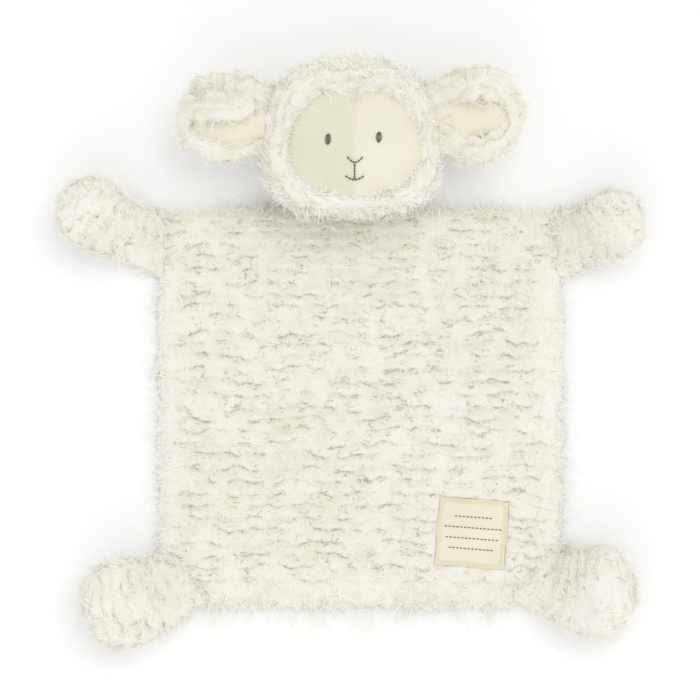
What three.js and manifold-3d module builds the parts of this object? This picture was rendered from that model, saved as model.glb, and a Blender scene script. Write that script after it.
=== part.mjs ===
// A baby's comfort blanket in the shape of a lamb, lying on its back. Millimetres, +Z up, +Y to the head.
// The body is a flat blanket of two plies. A stuffed head, two hands and two feet are sewn into its edge
// seam, and each folds forwards along that seam. The origin is the middle of the blanket's underside.
import * as THREE from "three";
import { mergeVertices } from "three/addons/utils/BufferGeometryUtils.js";
import Module from "manifold-3d";

// Clearances
const layerGap = 0.3; // between two layers of cloth that touch
const foldGap = 0.4; // from a folding seam to the cloth on each side of it
const weld = 0.001; // corners nearer than this are one

// Blanket
const blanketHalfWidth = 117.5;
const blanketHalfHeight = 114.5;
const liningThickness = 2; // the smooth ply underneath
const pileRise = 7.6; // the shaggy ply at its full height
const edgeRoll = 26; // the shaggy ply comes down to the seam over this
const rippleHeight = 0.5;
const rippleLength = 71;
const cornerCut = 26.2; // each lower corner is cut off for a foot
const leastStep = 3.5;
const rollShares = [0, 0.15, 0.38, 0.66, 1];

// Sewn patch
const patchWidth = 42;
const patchHeight = 41;
const patchThickness = 1;
const patchHem = 3;
const patchHemRise = 0.4;
const patchFromSide = 51.1; // from its middle to the blanket's side seam
const patchFromBottom = 37;
const patchTurn = -4.5; // degrees
const patchWell = 2; // how deep it presses into the pile
const patchMargin = 2.5; // of pressed pile round it

// Head
const headX = -5;
const headAboveSeam = 0.5; // from the blanket's top seam to the chin
const headHalfWidth = 50;
const headHalfHeight = 43;
const headHalfDepth = 30;
const headFlat = 0.5; // cut off where the head lies on its back
const headSkin = 5;
const headPower = 2.2; // its roundness from the side: 2 would be an ellipse, and more is squarer
const planPower = 3; // the same from the front
const muzzleX = 3; // from the middle of the head
const muzzleY = -18;
const muzzleRise = 3;
const muzzleShare = 0.35;
const faceShare = 0.78; // of the head's half width and half height
const notchShare = 0.15; // how far the forelock dips into the face
const notchAngle = 16; // degrees to each side
const cheekShare = 0.07; // the head is wider at the cheeks than at the brow
const aroundShares = [0, 0.045, 0.09, 0.17, 0.27, 0.38, 0.49, 0.6, 0.71, 0.81, 0.91, 1];
const faceRowShares = [0, 0.3, 0.56, 0.79, 1];
const shellRowShares = [0, 0.13, 0.28, 0.43, 0.58, 0.74, 0.88, 1];

// Embroidery
const stitchHeight = 0.8;
const stitchWidth = 1.5;
const eyeWidth = 4.2;
const eyeHeight = 6;
// Places on the face, from the middle of the head
const eyes = {
  eye_left: { x: -14, y: -4.7 },
  eye_right: { x: 15.4, y: -3.5 },
};
const noseX = 1.6;
const noseY = -15;
const noseWidth = 9.2;
const noseDepth = 3.5;
const mouthX = 1.4;
const mouthY = -26;
const mouthWidth = 11;
const mouthDepth = 2.3;
const stitchCounts = { eye: 6, nose: 8, mouth: 8, lip: 4 }; // steps along each row of stitches

// Neck
const neckHalfWidth = 30;
const neckLength = 22;
const neckSlopeAngle = 31; // degrees
const neckPower = 4; // how square it stays out to its two ends

// Ears
const earZ = 27;
const earSkin = 3;
const earLining = 2;
const earRootHalf = 15;
const earRollDepth = 9;
const earRootDepth = 2;
const earSetBack = 1.5; // from the edge of the shaggy cloth to the edge of the lining
const earRootCurlAngle = 45; // degrees that the cloth curls forwards on each side of the root
const earCurlShare = 0.45; // of its length, where it is curled in full
const earPeakShare = 0.5; // of its length, where it is widest
const earRowShares = [0, 0.1, 0.2, 0.32, 0.45, 0.6, 0.75, 0.88, 0.96, 1];
const ears = {
  left: { side: -1, aboveMiddle: 10, length: 49, half: 22, topAngle: 150, bottomAngle: 75, turnAngle: 180 },
  right: { side: 1, aboveMiddle: 11, length: 46, half: 23.5, topAngle: 112, bottomAngle: 95, turnAngle: 2 },
};

// Hands and feet
const limbSkin = 3;
const limbFlat = 0.35; // cut off where a limb lies on the ground
const padSeamZ = 16; // height of the side seam round a hand or foot
const handSeam = 36;
const limbPower = 2.2;
const wristShare = 0.12; // how much the sleeve draws in between the seam and the pad
const bendShare = 0.45;
const sleeveRowShares = [0, 0.22, 0.45, 0.7, 1];
const padRowShares = [0.28, 0.54, 0.78, 1];
const limbs = {
  arm_left: { reach: 45.1, swingAngle: 157.9, padLength: 19, padWidth: 19.5, padTop: 35 },
  arm_right: { reach: 33, swingAngle: 17.4, padLength: 18.5, padWidth: 19, padTop: 34 },
  leg_left: { reach: 39.9, swingAngle: 204.6, padLength: 22.5, padWidth: 26.5, padTop: 35 },
  leg_right: { reach: 37, swingAngle: 344.2, padLength: 22, padWidth: 26, padTop: 35 },
};
const limbNormalAngles = { arm_left: 180, arm_right: 0, leg_left: 225, leg_right: 315 }; // degrees
const easedShare = 0.4; // of a limb's swelling, which eases in and out, and the rest is even

const crossCells = 8; // cells from one side seam of an ear or a limb to the other

const degree = Math.PI / 180;
const seamZ = liningThickness + layerGap / 2;
const headY = blanketHalfHeight + headAboveSeam + headHalfHeight;
const patchX = blanketHalfWidth - patchFromSide;
const patchY = patchFromBottom - blanketHalfHeight;
const wasm = await Module();
wasm.setup();

const lamb = new THREE.Group();

// Colours and finishes
const cloths = {
  pile: { color: 0xedebdf, roughness: 1 },
  wool: { color: 0xe5e4d8, roughness: 1 },
  velour: { color: 0xebe8d5, roughness: 0.85 },
  underside: { color: 0xf0eee2, roughness: 0.85 },
  filling: { color: 0xf6f5f1, roughness: 1 },
  thread: { color: 0x5d5a50, roughness: 0.6 },
  ribbon: { color: 0xf0e8d0, roughness: 0.7 },
};

function add(name, cloth, geometry) {
  geometry.computeVertexNormals();
  const mesh = new THREE.Mesh(geometry, new THREE.MeshStandardMaterial({ ...cloths[cloth], metalness: 0 }));
  mesh.name = name;
  lamb.add(mesh);
  return mesh;
}

const signedPower = (value, power) => Math.sign(value) * Math.abs(value) ** power;
const ease = (t) => t * t * (3 - 2 * t);
const clamp01 = (t) => Math.min(1, Math.max(0, t));
const mix = (from, to, t) => from + (to - from) * t;
const direction = (angle) => new THREE.Vector3(Math.cos(angle * degree), Math.sin(angle * degree), 0);

// The triangles of a grid of points. Their diagonals lean the same way in every layer of a piece.
function facesOf(grid, reversed = false) {
  const triangles = [];
  for (let i = 0; i + 1 < grid.length; i++)
    for (let j = 0; j + 1 < grid[i].length; j++) {
      const [a, b, c, d] = [grid[i][j], grid[i][j + 1], grid[i + 1][j + 1], grid[i + 1][j]];
      const firstHalf = 2 * j + 1 < grid[i].length;
      const pair = firstHalf ? [[a, b, c], [a, c, d]] : [[a, b, d], [b, c, d]];
      triangles.push(...pair.map((t) => (reversed ? t.reverse() : t)));
    }
  return triangles;
}

// One closed mesh of triangles, with its corners welded and its faces pointing out.
function closed(triangles) {
  const corners = triangles.flat().flatMap((p) => p.toArray());
  const loose = new THREE.BufferGeometry();
  loose.setAttribute("position", new THREE.Float32BufferAttribute(corners, 3));
  const geometry = mergeVertices(loose, weld);
  const kept = [];
  let volume = 0;
  for (let i = 0; i < geometry.index.count; i += 3) {
    const abc = [0, 1, 2].map((k) => geometry.index.getX(i + k));
    if (new Set(abc).size < 3) continue;
    const places = geometry.attributes.position;
    const [a, b, c] = abc.map((k) => new THREE.Vector3().fromBufferAttribute(places, k));
    volume += a.dot(b.cross(c)) / 6;
    kept.push(abc);
  }
  geometry.setIndex(kept.map((abc) => (volume < 0 ? abc.reverse() : abc)).flat());
  return geometry;
}

function rimOf(grid) {
  const last = grid.length - 1;
  const right = grid.map((row) => row[row.length - 1]);
  const left = grid.map((row) => row[0]);
  return [
    ...grid[0].slice(0, -1),
    ...right.slice(0, -1),
    ...grid[last].slice(1).reverse(),
    ...left.slice(1).reverse(),
  ];
}

// The solid between two grids of one size, with a wall round their rims.
function between(outer, inner) {
  const [near, far] = [rimOf(outer), rimOf(inner)];
  const wall = near.flatMap((p, k) => {
    const next = (k + 1) % near.length;
    return [[p, far[k], far[next]], [p, far[next], near[next]]];
  });
  return closed([...facesOf(outer), ...wall, ...facesOf(inner, true)]);
}

const gridOf = (rows, columns, point) => rows.map((row) => columns.map((column) => point(row, column)));
const shiftX = (grid, by) => grid.map((row) => row.map((p) => p.clone().add(new THREE.Vector3(by, 0, 0))));

function solidOf(geometry) {
  const mesh = { numProp: 3, vertProperties: geometry.attributes.position.array };
  return new wasm.Manifold(new wasm.Mesh({ ...mesh, triVerts: new Uint32Array(geometry.index.array) }));
}

function geometryOf(solid) {
  const mesh = solid.getMesh();
  const geometry = new THREE.BufferGeometry();
  geometry.setAttribute("position", new THREE.Float32BufferAttribute(mesh.vertProperties, 3));
  geometry.setIndex(Array.from(mesh.triVerts));
  return geometry;
}

// Blanket

const clothHalfWidth = blanketHalfWidth - foldGap;
const clothHalfHeight = blanketHalfHeight - foldGap;
const clothCut = cornerCut - (2 - Math.SQRT2) * foldGap;
const cutY = clothCut - clothHalfHeight;
const patchSpan = Math.hypot(patchWidth, patchHeight) / 2 * Math.cos((45 + patchTurn) * degree) + patchMargin;
const pileZ = liningThickness + layerGap;

// How far a point of the blanket lies inside its edge.
function insideEdge(x, y) {
  const corner = y < 0 ? clothHalfWidth + clothHalfHeight - clothCut : clothHalfWidth + clothHalfHeight;
  const toCorner = (corner - Math.abs(x) - Math.abs(y)) / Math.SQRT2;
  const toSide = Math.min(clothHalfWidth - Math.abs(x), clothHalfHeight - Math.abs(y));
  return Math.max(0, y < 0 ? Math.min(toSide, toCorner) : toSide);
}

// The shaggy ply's height. column is x before the lower corners draw the blanket's rows in.
function pileHeight(x, y, column) {
  const onPatch = Math.abs(column - patchX) < patchSpan + weld && Math.abs(y - patchY) < patchSpan + weld;
  const rise = clamp01(insideEdge(x, y) / edgeRoll);
  const wave = Math.sin((2 * Math.PI * x) / rippleLength) * Math.cos((2 * Math.PI * y) / rippleLength);
  const free = pileRise * rise * (2 - rise) + rippleHeight * wave * rise;
  return onPatch ? Math.min(free, pileRise - patchWell) : free;
}

// Lines of the blanket's grid: the ones that must be there, then others wherever there is room.
function linesFor(half, fixed) {
  const steps = Math.round((2 * half) / edgeRoll);
  const rolls = rollShares.flatMap((share) => [share * edgeRoll - half, half - share * edgeRoll]);
  const even = Array.from({ length: steps + 1 }, (_, k) => mix(-half, half, k / steps));
  const lines = [-half, half, ...fixed];
  const spaced = (list, room) =>
    list.forEach((value) => lines.every((line) => Math.abs(line - value) > room) && lines.push(value));
  spaced(rolls, leastStep);
  spaced(even, edgeRoll / 2);
  return lines.sort((a, b) => a - b);
}

const patchLines = (middle) => [middle - patchSpan, middle, middle + patchSpan];
const blanketRows = linesFor(clothHalfHeight, [cutY, ...patchLines(patchY)]);
const blanketColumns = linesFor(clothHalfWidth, patchLines(patchX));

function blanketGrid(heightAt) {
  return gridOf(blanketRows, blanketColumns, (y, column) => {
    const x = (column * (clothHalfWidth - Math.max(0, cutY - y))) / clothHalfWidth;
    return new THREE.Vector3(x, y, pileZ + heightAt(x, y, column));
  });
}

function addBlanket() {
  add("blanket_front_panel", "pile", between(blanketGrid(pileHeight), blanketGrid(() => 0)));
  const outline = new THREE.Shape();
  outline.moveTo(-clothHalfWidth, clothHalfHeight);
  outline.lineTo(-clothHalfWidth, cutY);
  outline.lineTo(clothCut - clothHalfWidth, -clothHalfHeight);
  outline.lineTo(clothHalfWidth - clothCut, -clothHalfHeight);
  outline.lineTo(clothHalfWidth, cutY);
  outline.lineTo(clothHalfWidth, clothHalfHeight);
  const sheet = new THREE.ExtrudeGeometry(outline, { depth: liningThickness, bevelEnabled: false });
  sheet.deleteAttribute("normal");
  sheet.deleteAttribute("uv");
  add("blanket_back_panel", "underside", mergeVertices(sheet, weld));
}

function addPatch() {
  const hems = (size) => [-size / 2, patchHem - size / 2, 0, size / 2 - patchHem, size / 2];
  const bottomZ = pileZ + pileRise - patchWell + layerGap;
  const layer = (heightAt) =>
    gridOf(hems(patchHeight), hems(patchWidth), (y, x) =>
      new THREE.Vector3(x, y, heightAt(x, y))
        .applyAxisAngle(new THREE.Vector3(0, 0, 1), patchTurn * degree)
        .add(new THREE.Vector3(patchX, patchY, bottomZ)),
    );
  const beyond = (place, size) => Math.abs(place) > size / 2 - patchHem - weld;
  const onHem = (x, y) => beyond(x, patchWidth) || beyond(y, patchHeight);
  const top = layer((x, y) => patchThickness + (onHem(x, y) ? patchHemRise : 0));
  add("label_patch", "ribbon", between(top, layer(() => 0)));
}

// Head

// The head's outline from the front, at a size of 1.
function headPlan(around) {
  return [Math.cos(around * degree), Math.sin(around * degree)].map((v) => signedPower(v, 2 / planPower));
}

// A point of the head. along runs from the muzzle at 0 to the back at 1, around is an angle in degrees
// from the head's right-hand side over its top, and inset is how deep below the cloth's surface it is.
function headPoint(along, around, inset) {
  const turn = Math.PI * along;
  const [out, deep] = [Math.sin(turn), Math.cos(turn)].map((v) => signedPower(v, 2 / headPower));
  const [planX, planY] = headPlan(around);
  const front = Math.max(0, deep) ** 2;
  const depth = deep > 0 ? headHalfDepth : headHalfDepth + headFlat;
  const muzzle = deep > 0 ? muzzleRise * Math.exp(-((out / muzzleShare) ** 2)) : 0;
  return new THREE.Vector3(
    headX + muzzleX * front + out * (headHalfWidth - inset) * planX * (1 - cheekShare * out * planY),
    headY + muzzleY * front + out * (headHalfHeight - inset) * planY,
    Math.max(inset, headHalfDepth + deep * (depth - inset) + muzzle),
  );
}

// Where the face's edge lies on the head, as a value of along. The face is rounder than the head.
function faceEdge(around) {
  const notch = notchShare * clamp01(1 - Math.abs(around - 90) / notchAngle);
  const out = (faceShare * (1 - notch)) / Math.hypot(...headPlan(around));
  return Math.asin(out ** (headPower / 2)) / Math.PI;
}

const edgeStep = layerGap / 2 / (Math.PI * headHalfDepth);
const faceAlong = (share, around) => share * (faceEdge(around) - edgeStep);
const shellAlong = (share, around) => mix(faceEdge(around) + edgeStep, 1, share);
const halfAngles = {
  left: aroundShares.map((share) => mix(90, 270, share)),
  right: aroundShares.map((share) => mix(90, -90, share)).reverse(),
};
const halfShift = { left: -layerGap / 2, right: layerGap / 2 };

function headLayer(side, shares, alongOf, inset) {
  const point = (share, around) => headPoint(alongOf(share, around), around, inset);
  return gridOf(shares, halfAngles[side], point);
}

function addHead() {
  const meshes = [];
  for (const side of ["left", "right"]) {
    const half = (shares, alongOf, inset) => shiftX(headLayer(side, shares, alongOf, inset), halfShift[side]);
    const shell = between(half(shellRowShares, shellAlong, 0), half(shellRowShares, shellAlong, headSkin));
    add("head_side_" + side, "wool", shell);
    const face = between(half(faceRowShares, faceAlong, 0), half(faceRowShares, faceAlong, headSkin));
    meshes.push(add("face_" + side, "velour", face));
  }
  add("head_stuffing", "filling", headBody(headSkin + layerGap));
  return meshes;
}

// The whole head as one closed body, inset below its surface or, with a negative inset, outside it.
function headBody(inset) {
  const sides = ["left", "right"].map((side) => [
    ...headLayer(side, faceRowShares, faceAlong, inset),
    ...headLayer(side, shellRowShares, shellAlong, inset),
  ]);
  return closed(sides.flatMap((grid) => facesOf(grid)));
}

// The gathered cloth between the blanket's top seam and the back of the head.
function addNeck() {
  const widths = aroundShares.filter((_, k) => k % 2 === 0).map((share) => mix(-1, 1, share));
  const rows = sleeveRowShares;
  const layer = (side) =>
    gridOf(rows, widths, (share, width) => {
      const rounded = Math.sqrt(1 - width ** neckPower);
      const reach = share * neckLength;
      const rise = side > 0 ? reach * Math.tan(neckSlopeAngle * degree) : -seamZ * clamp01(share / rows[1]);
      const x = headX + width * neckHalfWidth;
      return new THREE.Vector3(x, blanketHalfHeight + foldGap + reach, seamZ + rise * rounded);
    });
  const wedge = solidOf(between(layer(1), layer(-1)));
  add("neck_gather", "wool", geometryOf(wedge.subtract(solidOf(headBody(-layerGap)))));
}

// Embroidery, laid on the face by dropping each of its points onto the cloth

function dropOnto(meshes) {
  const ray = new THREE.Raycaster();
  const above = 3 * headHalfDepth;
  meshes.forEach((mesh) => mesh.updateMatrixWorld());
  return (x, y) => {
    for (const aside of [0, layerGap, -layerGap]) {
      ray.set(new THREE.Vector3(x + aside, y, above), new THREE.Vector3(0, 0, -1));
      const hit = ray.intersectObjects(meshes)[0];
      if (hit) return hit.point.z;
    }
    throw new Error("a stitch misses the face");
  };
}

// A row of satin stitches. path gives the middle and the half width at each step from 0 to 1.
function stitches(skinZ, path, steps) {
  const shares = Array.from({ length: steps + 1 }, (_, k) => k / steps);
  const layer = (height) =>
    gridOf(shares, [-1, -0.5, 0, 0.5, 1], (share, width) => {
      const { x, y, halfX, halfY } = path(share);
      const [px, py] = [x + width * halfX, y + width * halfY];
      return new THREE.Vector3(px, py, skinZ(px, py) + layerGap + height * Math.sqrt(1 - width ** 2));
    });
  return between(layer(stitchHeight), layer(0));
}

function addEmbroidery(faceMeshes) {
  const skinZ = dropOnto(faceMeshes);
  for (const [name, eye] of Object.entries(eyes))
    add(name, "thread", stitches(skinZ, (share) => ({
      x: headX + eye.x,
      y: headY + eye.y - (eyeHeight / 2) * Math.cos(Math.PI * share),
      halfX: (eyeWidth / 2) * Math.sin(Math.PI * share),
      halfY: 0,
    }), stitchCounts.eye));
  const smile = (x, y, width, depth) => (share) => ({
    x: headX + x + width * (share - 0.5),
    y: headY + y - depth * Math.sin(Math.PI * share),
    halfX: 0,
    halfY: stitchWidth / 2,
  });
  const nose = smile(noseX, noseY, noseWidth, noseDepth);
  add("nose_stitch", "thread", stitches(skinZ, nose, stitchCounts.nose));
  const mouth = smile(mouthX, mouthY, mouthWidth, mouthDepth);
  add("mouth_stitch", "thread", stitches(skinZ, mouth, stitchCounts.mouth));
  const lipTop = noseY - noseDepth - stitchWidth / 2 - layerGap;
  const lipBottom = mouthY - mouthDepth + stitchWidth / 2 + layerGap;
  add("lip_stitch", "thread", stitches(skinZ, (share) => ({
    x: headX + mouthX,
    y: headY + mix(lipTop, lipBottom, share),
    halfX: stitchWidth / 2,
    halfY: 0,
  }), stitchCounts.lip));
}

// Ears

// A point of an ear before it is placed. along runs from its root to its tip, width from one edge to the
// other, and lift is how far the point stands off the middle layer, towards the lining's side.
function earPoint(ear, along, width, lift) {
  const past = clamp01((along - earPeakShare) / (1 - earPeakShare));
  const cap = Math.sqrt(1 - past ** 2);
  const half = mix(earRootHalf, ear.half, Math.sin((Math.PI / 2) * clamp01(along / earPeakShare))) * cap;
  const curled = ease(clamp01(along / earCurlShare));
  const fullCurl = width * ear.side > 0 ? ear.topAngle : ear.bottomAngle;
  const curl = mix(earRootCurlAngle, fullCurl, curled) * degree;
  const wide = half / Math.sin(Math.min(curl, Math.PI / 2));
  const deep = mix(earRootDepth, earRollDepth, curled) * cap;
  const turn = curl * width;
  const normal = new THREE.Vector3(0, -Math.sin(turn) * deep, Math.cos(turn) * wide);
  const middle = new THREE.Vector3(along * ear.length, wide * Math.sin(turn), deep * (1 - Math.cos(turn)));
  return cap > weld ? middle.addScaledVector(normal.normalize(), lift) : middle;
}

// The x of the head's side at a height y, at its widest level.
function headSideX(side, y) {
  const planY = (y - headY) / headHalfHeight;
  const planX = (1 - Math.abs(planY) ** planPower) ** (1 / planPower);
  return headX + side * headHalfWidth * planX * (1 - cheekShare * planY);
}

// A grid whose sides and last row are drawn in by a length, along the cells that they end.
function drawnIn(grid, by) {
  const step = (from, to) => from.clone().add(to.clone().sub(from).setLength(by));
  const last = grid.length - 1;
  const shorter = grid.map((row, i) => (i < last ? row : row.map((p, j) => step(p, grid[i - 1][j]))));
  return shorter.map((row, i) => {
    const end = row.length - 1;
    return row.map((p, j) => (i === last || (j > 0 && j < end) ? p : step(p, row[j === 0 ? 1 : end - 1])));
  });
}

function addEars() {
  const widths = Array.from({ length: crossCells + 1 }, (_, k) => mix(-1, 1, k / crossCells));
  for (const [name, ear] of Object.entries(ears)) {
    const rootY = headY + ear.aboveMiddle;
    const nearest = headSideX(ear.side, rootY - earRootHalf);
    const root = new THREE.Vector3(nearest + ear.side * layerGap, rootY, earZ);
    const layer = (lift, thickness) =>
      gridOf(earRowShares, widths, (along, width) => {
        const ends = Math.min(1, along / earRowShares[2], (1 - along) / (1 - earRowShares[6]));
        const point = earPoint(ear, along, width, lift + thickness * ends);
        point.applyAxisAngle(new THREE.Vector3(0, 0, 1), ear.turnAngle * degree).add(root);
        const toHead = headSideX(ear.side, point.y) - nearest;
        point.x += toHead * (1 - ease(clamp01(along / earCurlShare)));
        return point;
      });
    const apart = layerGap / 2;
    add(`ear_${name}_wool`, "wool", between(layer(-apart, -earSkin), layer(-apart, 0)));
    const lining = [layer(apart, earLining), layer(apart, 0)].map((grid) => drawnIn(grid, earSetBack));
    add(`ear_${name}_lining`, "velour", between(...lining));
  }
}

// Hands and feet

// The middle of the blanket's seam that a limb is sewn into.
function seamMiddle(name) {
  const side = name.endsWith("left") ? -1 : 1;
  const hand = name.startsWith("arm");
  return hand
    ? new THREE.Vector3(side * blanketHalfWidth, blanketHalfHeight - handSeam / 2, 0)
    : new THREE.Vector3(side * (blanketHalfWidth - cornerCut / 2), cornerCut / 2 - blanketHalfHeight, 0);
}

// How far a limb has swollen at a share of the way from its seam to its pad.
const swelling = (share) => mix(share, ease(share), easedShare);

// A grid of one side of a limb, with side 1 for its front and -1 for its back. inset is how deep below
// the cloth's surface it lies, and lift how far its rim stands off the limb's side seam.
function limbLayer(name, side, inset, lift) {
  const limb = limbs[name];
  const normal = direction(limbNormalAngles[name]);
  const seam = seamMiddle(name);
  const rootHalf = (name.startsWith("arm") ? handSeam : cornerCut * Math.SQRT2) / 2;
  const root = seam.clone().addScaledVector(normal, foldGap);
  const bend = seam.clone().addScaledVector(normal, limb.reach * bendShare);
  const pad = seam.clone().addScaledVector(direction(limb.swingAngle), limb.reach);
  const sleeve = new THREE.QuadraticBezierCurve3(root, bend, pad);
  const padHeight = side > 0 ? limb.padTop - padSeamZ - layerGap / 2 : padSeamZ - layerGap / 2 + limbFlat;
  const start = inset / padSeamZ;
  const place = (middle, tangent, half, seamHeight, height) => (turn) => {
    const width = signedPower(-Math.cos(turn), 2 / limbPower);
    const crown = Math.sin(turn) < weld ? 0 : Math.sin(turn) ** (2 / limbPower);
    const z = seamHeight + side * (lift + height * crown);
    return new THREE.Vector3(
      middle.x - tangent.y * width * half,
      middle.y + tangent.x * width * half,
      Math.max(inset, z),
    );
  };
  const rows = sleeveRowShares.map((share) => {
    const along = mix(start, 1, share);
    const wrist = wristShare * rootHalf * Math.sin(Math.PI * along);
    const half = mix(rootHalf, limb.padWidth, ease(along)) - wrist - inset;
    const seamHeight = mix(seamZ, padSeamZ, swelling(along));
    const height = (padHeight - inset) * swelling(share);
    return place(sleeve.getPoint(along), sleeve.getTangent(along), half, seamHeight, height);
  });
  for (const share of padRowShares) {
    const turn = (share * Math.PI) / 2;
    const tangent = sleeve.getTangent(1);
    const middle = pad.clone().addScaledVector(tangent, (limb.padLength - inset) * Math.sin(turn));
    const left = share < 1 ? Math.cos(turn) : 0;
    rows.push(place(middle, tangent, (limb.padWidth - inset) * left, padSeamZ, (padHeight - inset) * left));
  }
  const turns = Array.from({ length: crossCells + 1 }, (_, k) => (Math.PI * k) / crossCells);
  return gridOf(rows, turns, (row, turn) => row(turn));
}

function addLimbs() {
  for (const name of Object.keys(limbs)) {
    const layer = (side, depth) => limbLayer(name, side, depth, layerGap / 2);
    const cover = (side) => between(layer(side, 0), layer(side, limbSkin));
    add(name + "_front", "wool", cover(1));
    add(name + "_back", "wool", cover(-1));
    const inset = limbSkin + layerGap;
    const halves = [facesOf(limbLayer(name, 1, inset, 0)), facesOf(limbLayer(name, -1, inset, 0), true)];
    add(name + "_stuffing", "filling", closed(halves.flat()));
  }
}

addBlanket();
addPatch();
addEmbroidery(addHead());
addNeck();
addEars();
addLimbs();

export default lamb;
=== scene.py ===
# %% [markdown]
# # A lamb comfort blanket, dressed in its cloth
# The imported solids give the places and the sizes. Here each of them gets its real surface: a shaggy plush
# with rows of tufts, a smooth velour face, a sewn ribbon patch and a little embroidery. The plush is made
# in two steps. First comes a skin, which is a fine mesh with the tufts raised on it. Then a Geometry Nodes
# tree grows loose threads on that skin.

# %% Frame
import math

import bmesh
import bpy
import numpy as np
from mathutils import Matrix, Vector
from mathutils.bvhtree import BVHTree


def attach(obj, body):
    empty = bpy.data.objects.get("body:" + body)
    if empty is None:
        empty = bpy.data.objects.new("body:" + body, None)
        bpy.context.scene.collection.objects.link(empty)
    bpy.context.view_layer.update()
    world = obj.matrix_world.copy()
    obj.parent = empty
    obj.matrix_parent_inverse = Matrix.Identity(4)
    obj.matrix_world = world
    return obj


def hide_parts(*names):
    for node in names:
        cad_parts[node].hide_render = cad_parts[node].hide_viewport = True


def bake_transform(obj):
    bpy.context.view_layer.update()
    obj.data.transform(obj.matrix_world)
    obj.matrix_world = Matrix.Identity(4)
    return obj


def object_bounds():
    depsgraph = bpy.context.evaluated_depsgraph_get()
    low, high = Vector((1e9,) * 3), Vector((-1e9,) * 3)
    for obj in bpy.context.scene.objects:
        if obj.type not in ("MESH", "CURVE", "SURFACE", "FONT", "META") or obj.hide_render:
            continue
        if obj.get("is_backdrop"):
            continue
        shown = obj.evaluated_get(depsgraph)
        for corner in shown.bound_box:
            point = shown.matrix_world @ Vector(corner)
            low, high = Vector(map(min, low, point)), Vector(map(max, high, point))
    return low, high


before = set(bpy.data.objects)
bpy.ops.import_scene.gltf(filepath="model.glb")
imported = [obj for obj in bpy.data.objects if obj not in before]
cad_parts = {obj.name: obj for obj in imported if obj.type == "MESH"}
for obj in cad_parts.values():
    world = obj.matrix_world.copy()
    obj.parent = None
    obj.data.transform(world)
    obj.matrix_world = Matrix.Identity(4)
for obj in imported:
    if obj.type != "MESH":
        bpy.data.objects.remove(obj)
cad_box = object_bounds()
MM = 0.001


def placed(name, data):
    """An object at the origin that shows a mesh, a lamp or a camera in the scene."""
    made = bpy.data.objects.new(name, data)
    bpy.context.scene.collection.objects.link(made)
    return made


# %% [markdown]
# ## Camera
# The blanket lies on its back and is seen from straight above, from far off, so it hardly tapers. A long
# lens gives that: the width of the sensor over the width of the view is the lens over the distance.

# %% Camera
SENSOR = 36.0  # mm
VIEW_WIDTH = 0.420  # metres across the picture, at the floor
CAMERA_HEIGHT = 1.5
VIEW_MIDDLE = (-0.0063, 0.0318)

camera_data = bpy.data.cameras.new("camera")
camera_data.sensor_width = SENSOR
camera_data.lens = SENSOR * CAMERA_HEIGHT / VIEW_WIDTH
camera = placed("camera", camera_data)
camera.location = (*VIEW_MIDDLE, CAMERA_HEIGHT)
bpy.context.scene.camera = camera
print("lens", round(camera_data.lens, 1), "mm")

# %% [markdown]
# ## Helpers for shapes
# Shapes are worked out in millimetres as arrays of points, one row of points after another, and become
# metres when the mesh is made. A closed form needs its first and last rows joined or drawn to a point.


# %% Small helpers
def signed_power(value, power):
    return np.sign(value) * np.abs(value) ** power


def ease(t):
    return t * t * (3 - 2 * t)


def clamp(t):
    return np.clip(t, 0.0, 1.0)


def fading(value, width):
    """1 where the value is 0, and falling straight to 0 at the width."""
    return clamp(1 - value / width)


def past(value, start, width):
    """0 up to the start, and rising straight to 1 over the width behind it."""
    return clamp((value - start) / width)


def mix(a, b, t):
    return a + (b - a) * t


def unit(v):
    return v / np.maximum(np.linalg.norm(v, axis=-1, keepdims=True), 1e-9)


def xyz(x, y, z):
    """Points or directions from their three parts, each an array or one number."""
    return np.stack(np.broadcast_arrays(x, y, z), -1)


def turned(vector, about, angle):
    """vector turned about a unit axis that it stands square to, all three given at every point."""
    c, s = np.cos(angle)[..., None], np.sin(angle)[..., None]
    return vector * c + np.cross(about, vector) * s


# %% Faces between rows of points
def grid_faces(rows, columns, start=0, around=False, flipped=False):
    """Quads between rows of points. around joins the last column to the first."""
    faces = []
    for i in range(rows - 1):
        for j in range(columns if around else columns - 1):
            k = (j + 1) % columns
            quad = (i * columns + j, i * columns + k, (i + 1) * columns + k, (i + 1) * columns + j)
            faces.append(tuple(start + q for q in (reversed(quad) if flipped else quad)))
    return faces


def rim_of(rows, columns):
    """The numbers of a grid's outermost points, in order."""
    top = [(0, j) for j in range(columns - 1)]
    right = [(i, columns - 1) for i in range(rows - 1)]
    bottom = [(rows - 1, j) for j in range(columns - 1, 0, -1)]
    left = [(i, 0) for i in range(rows - 1, 0, -1)]
    return [i * columns + j for i, j in top + right + bottom + left]


# %% Meshes from rows of points
MERGE_DISTANCE = 1e-6
SHARP_ANGLE = math.radians(55)


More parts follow.
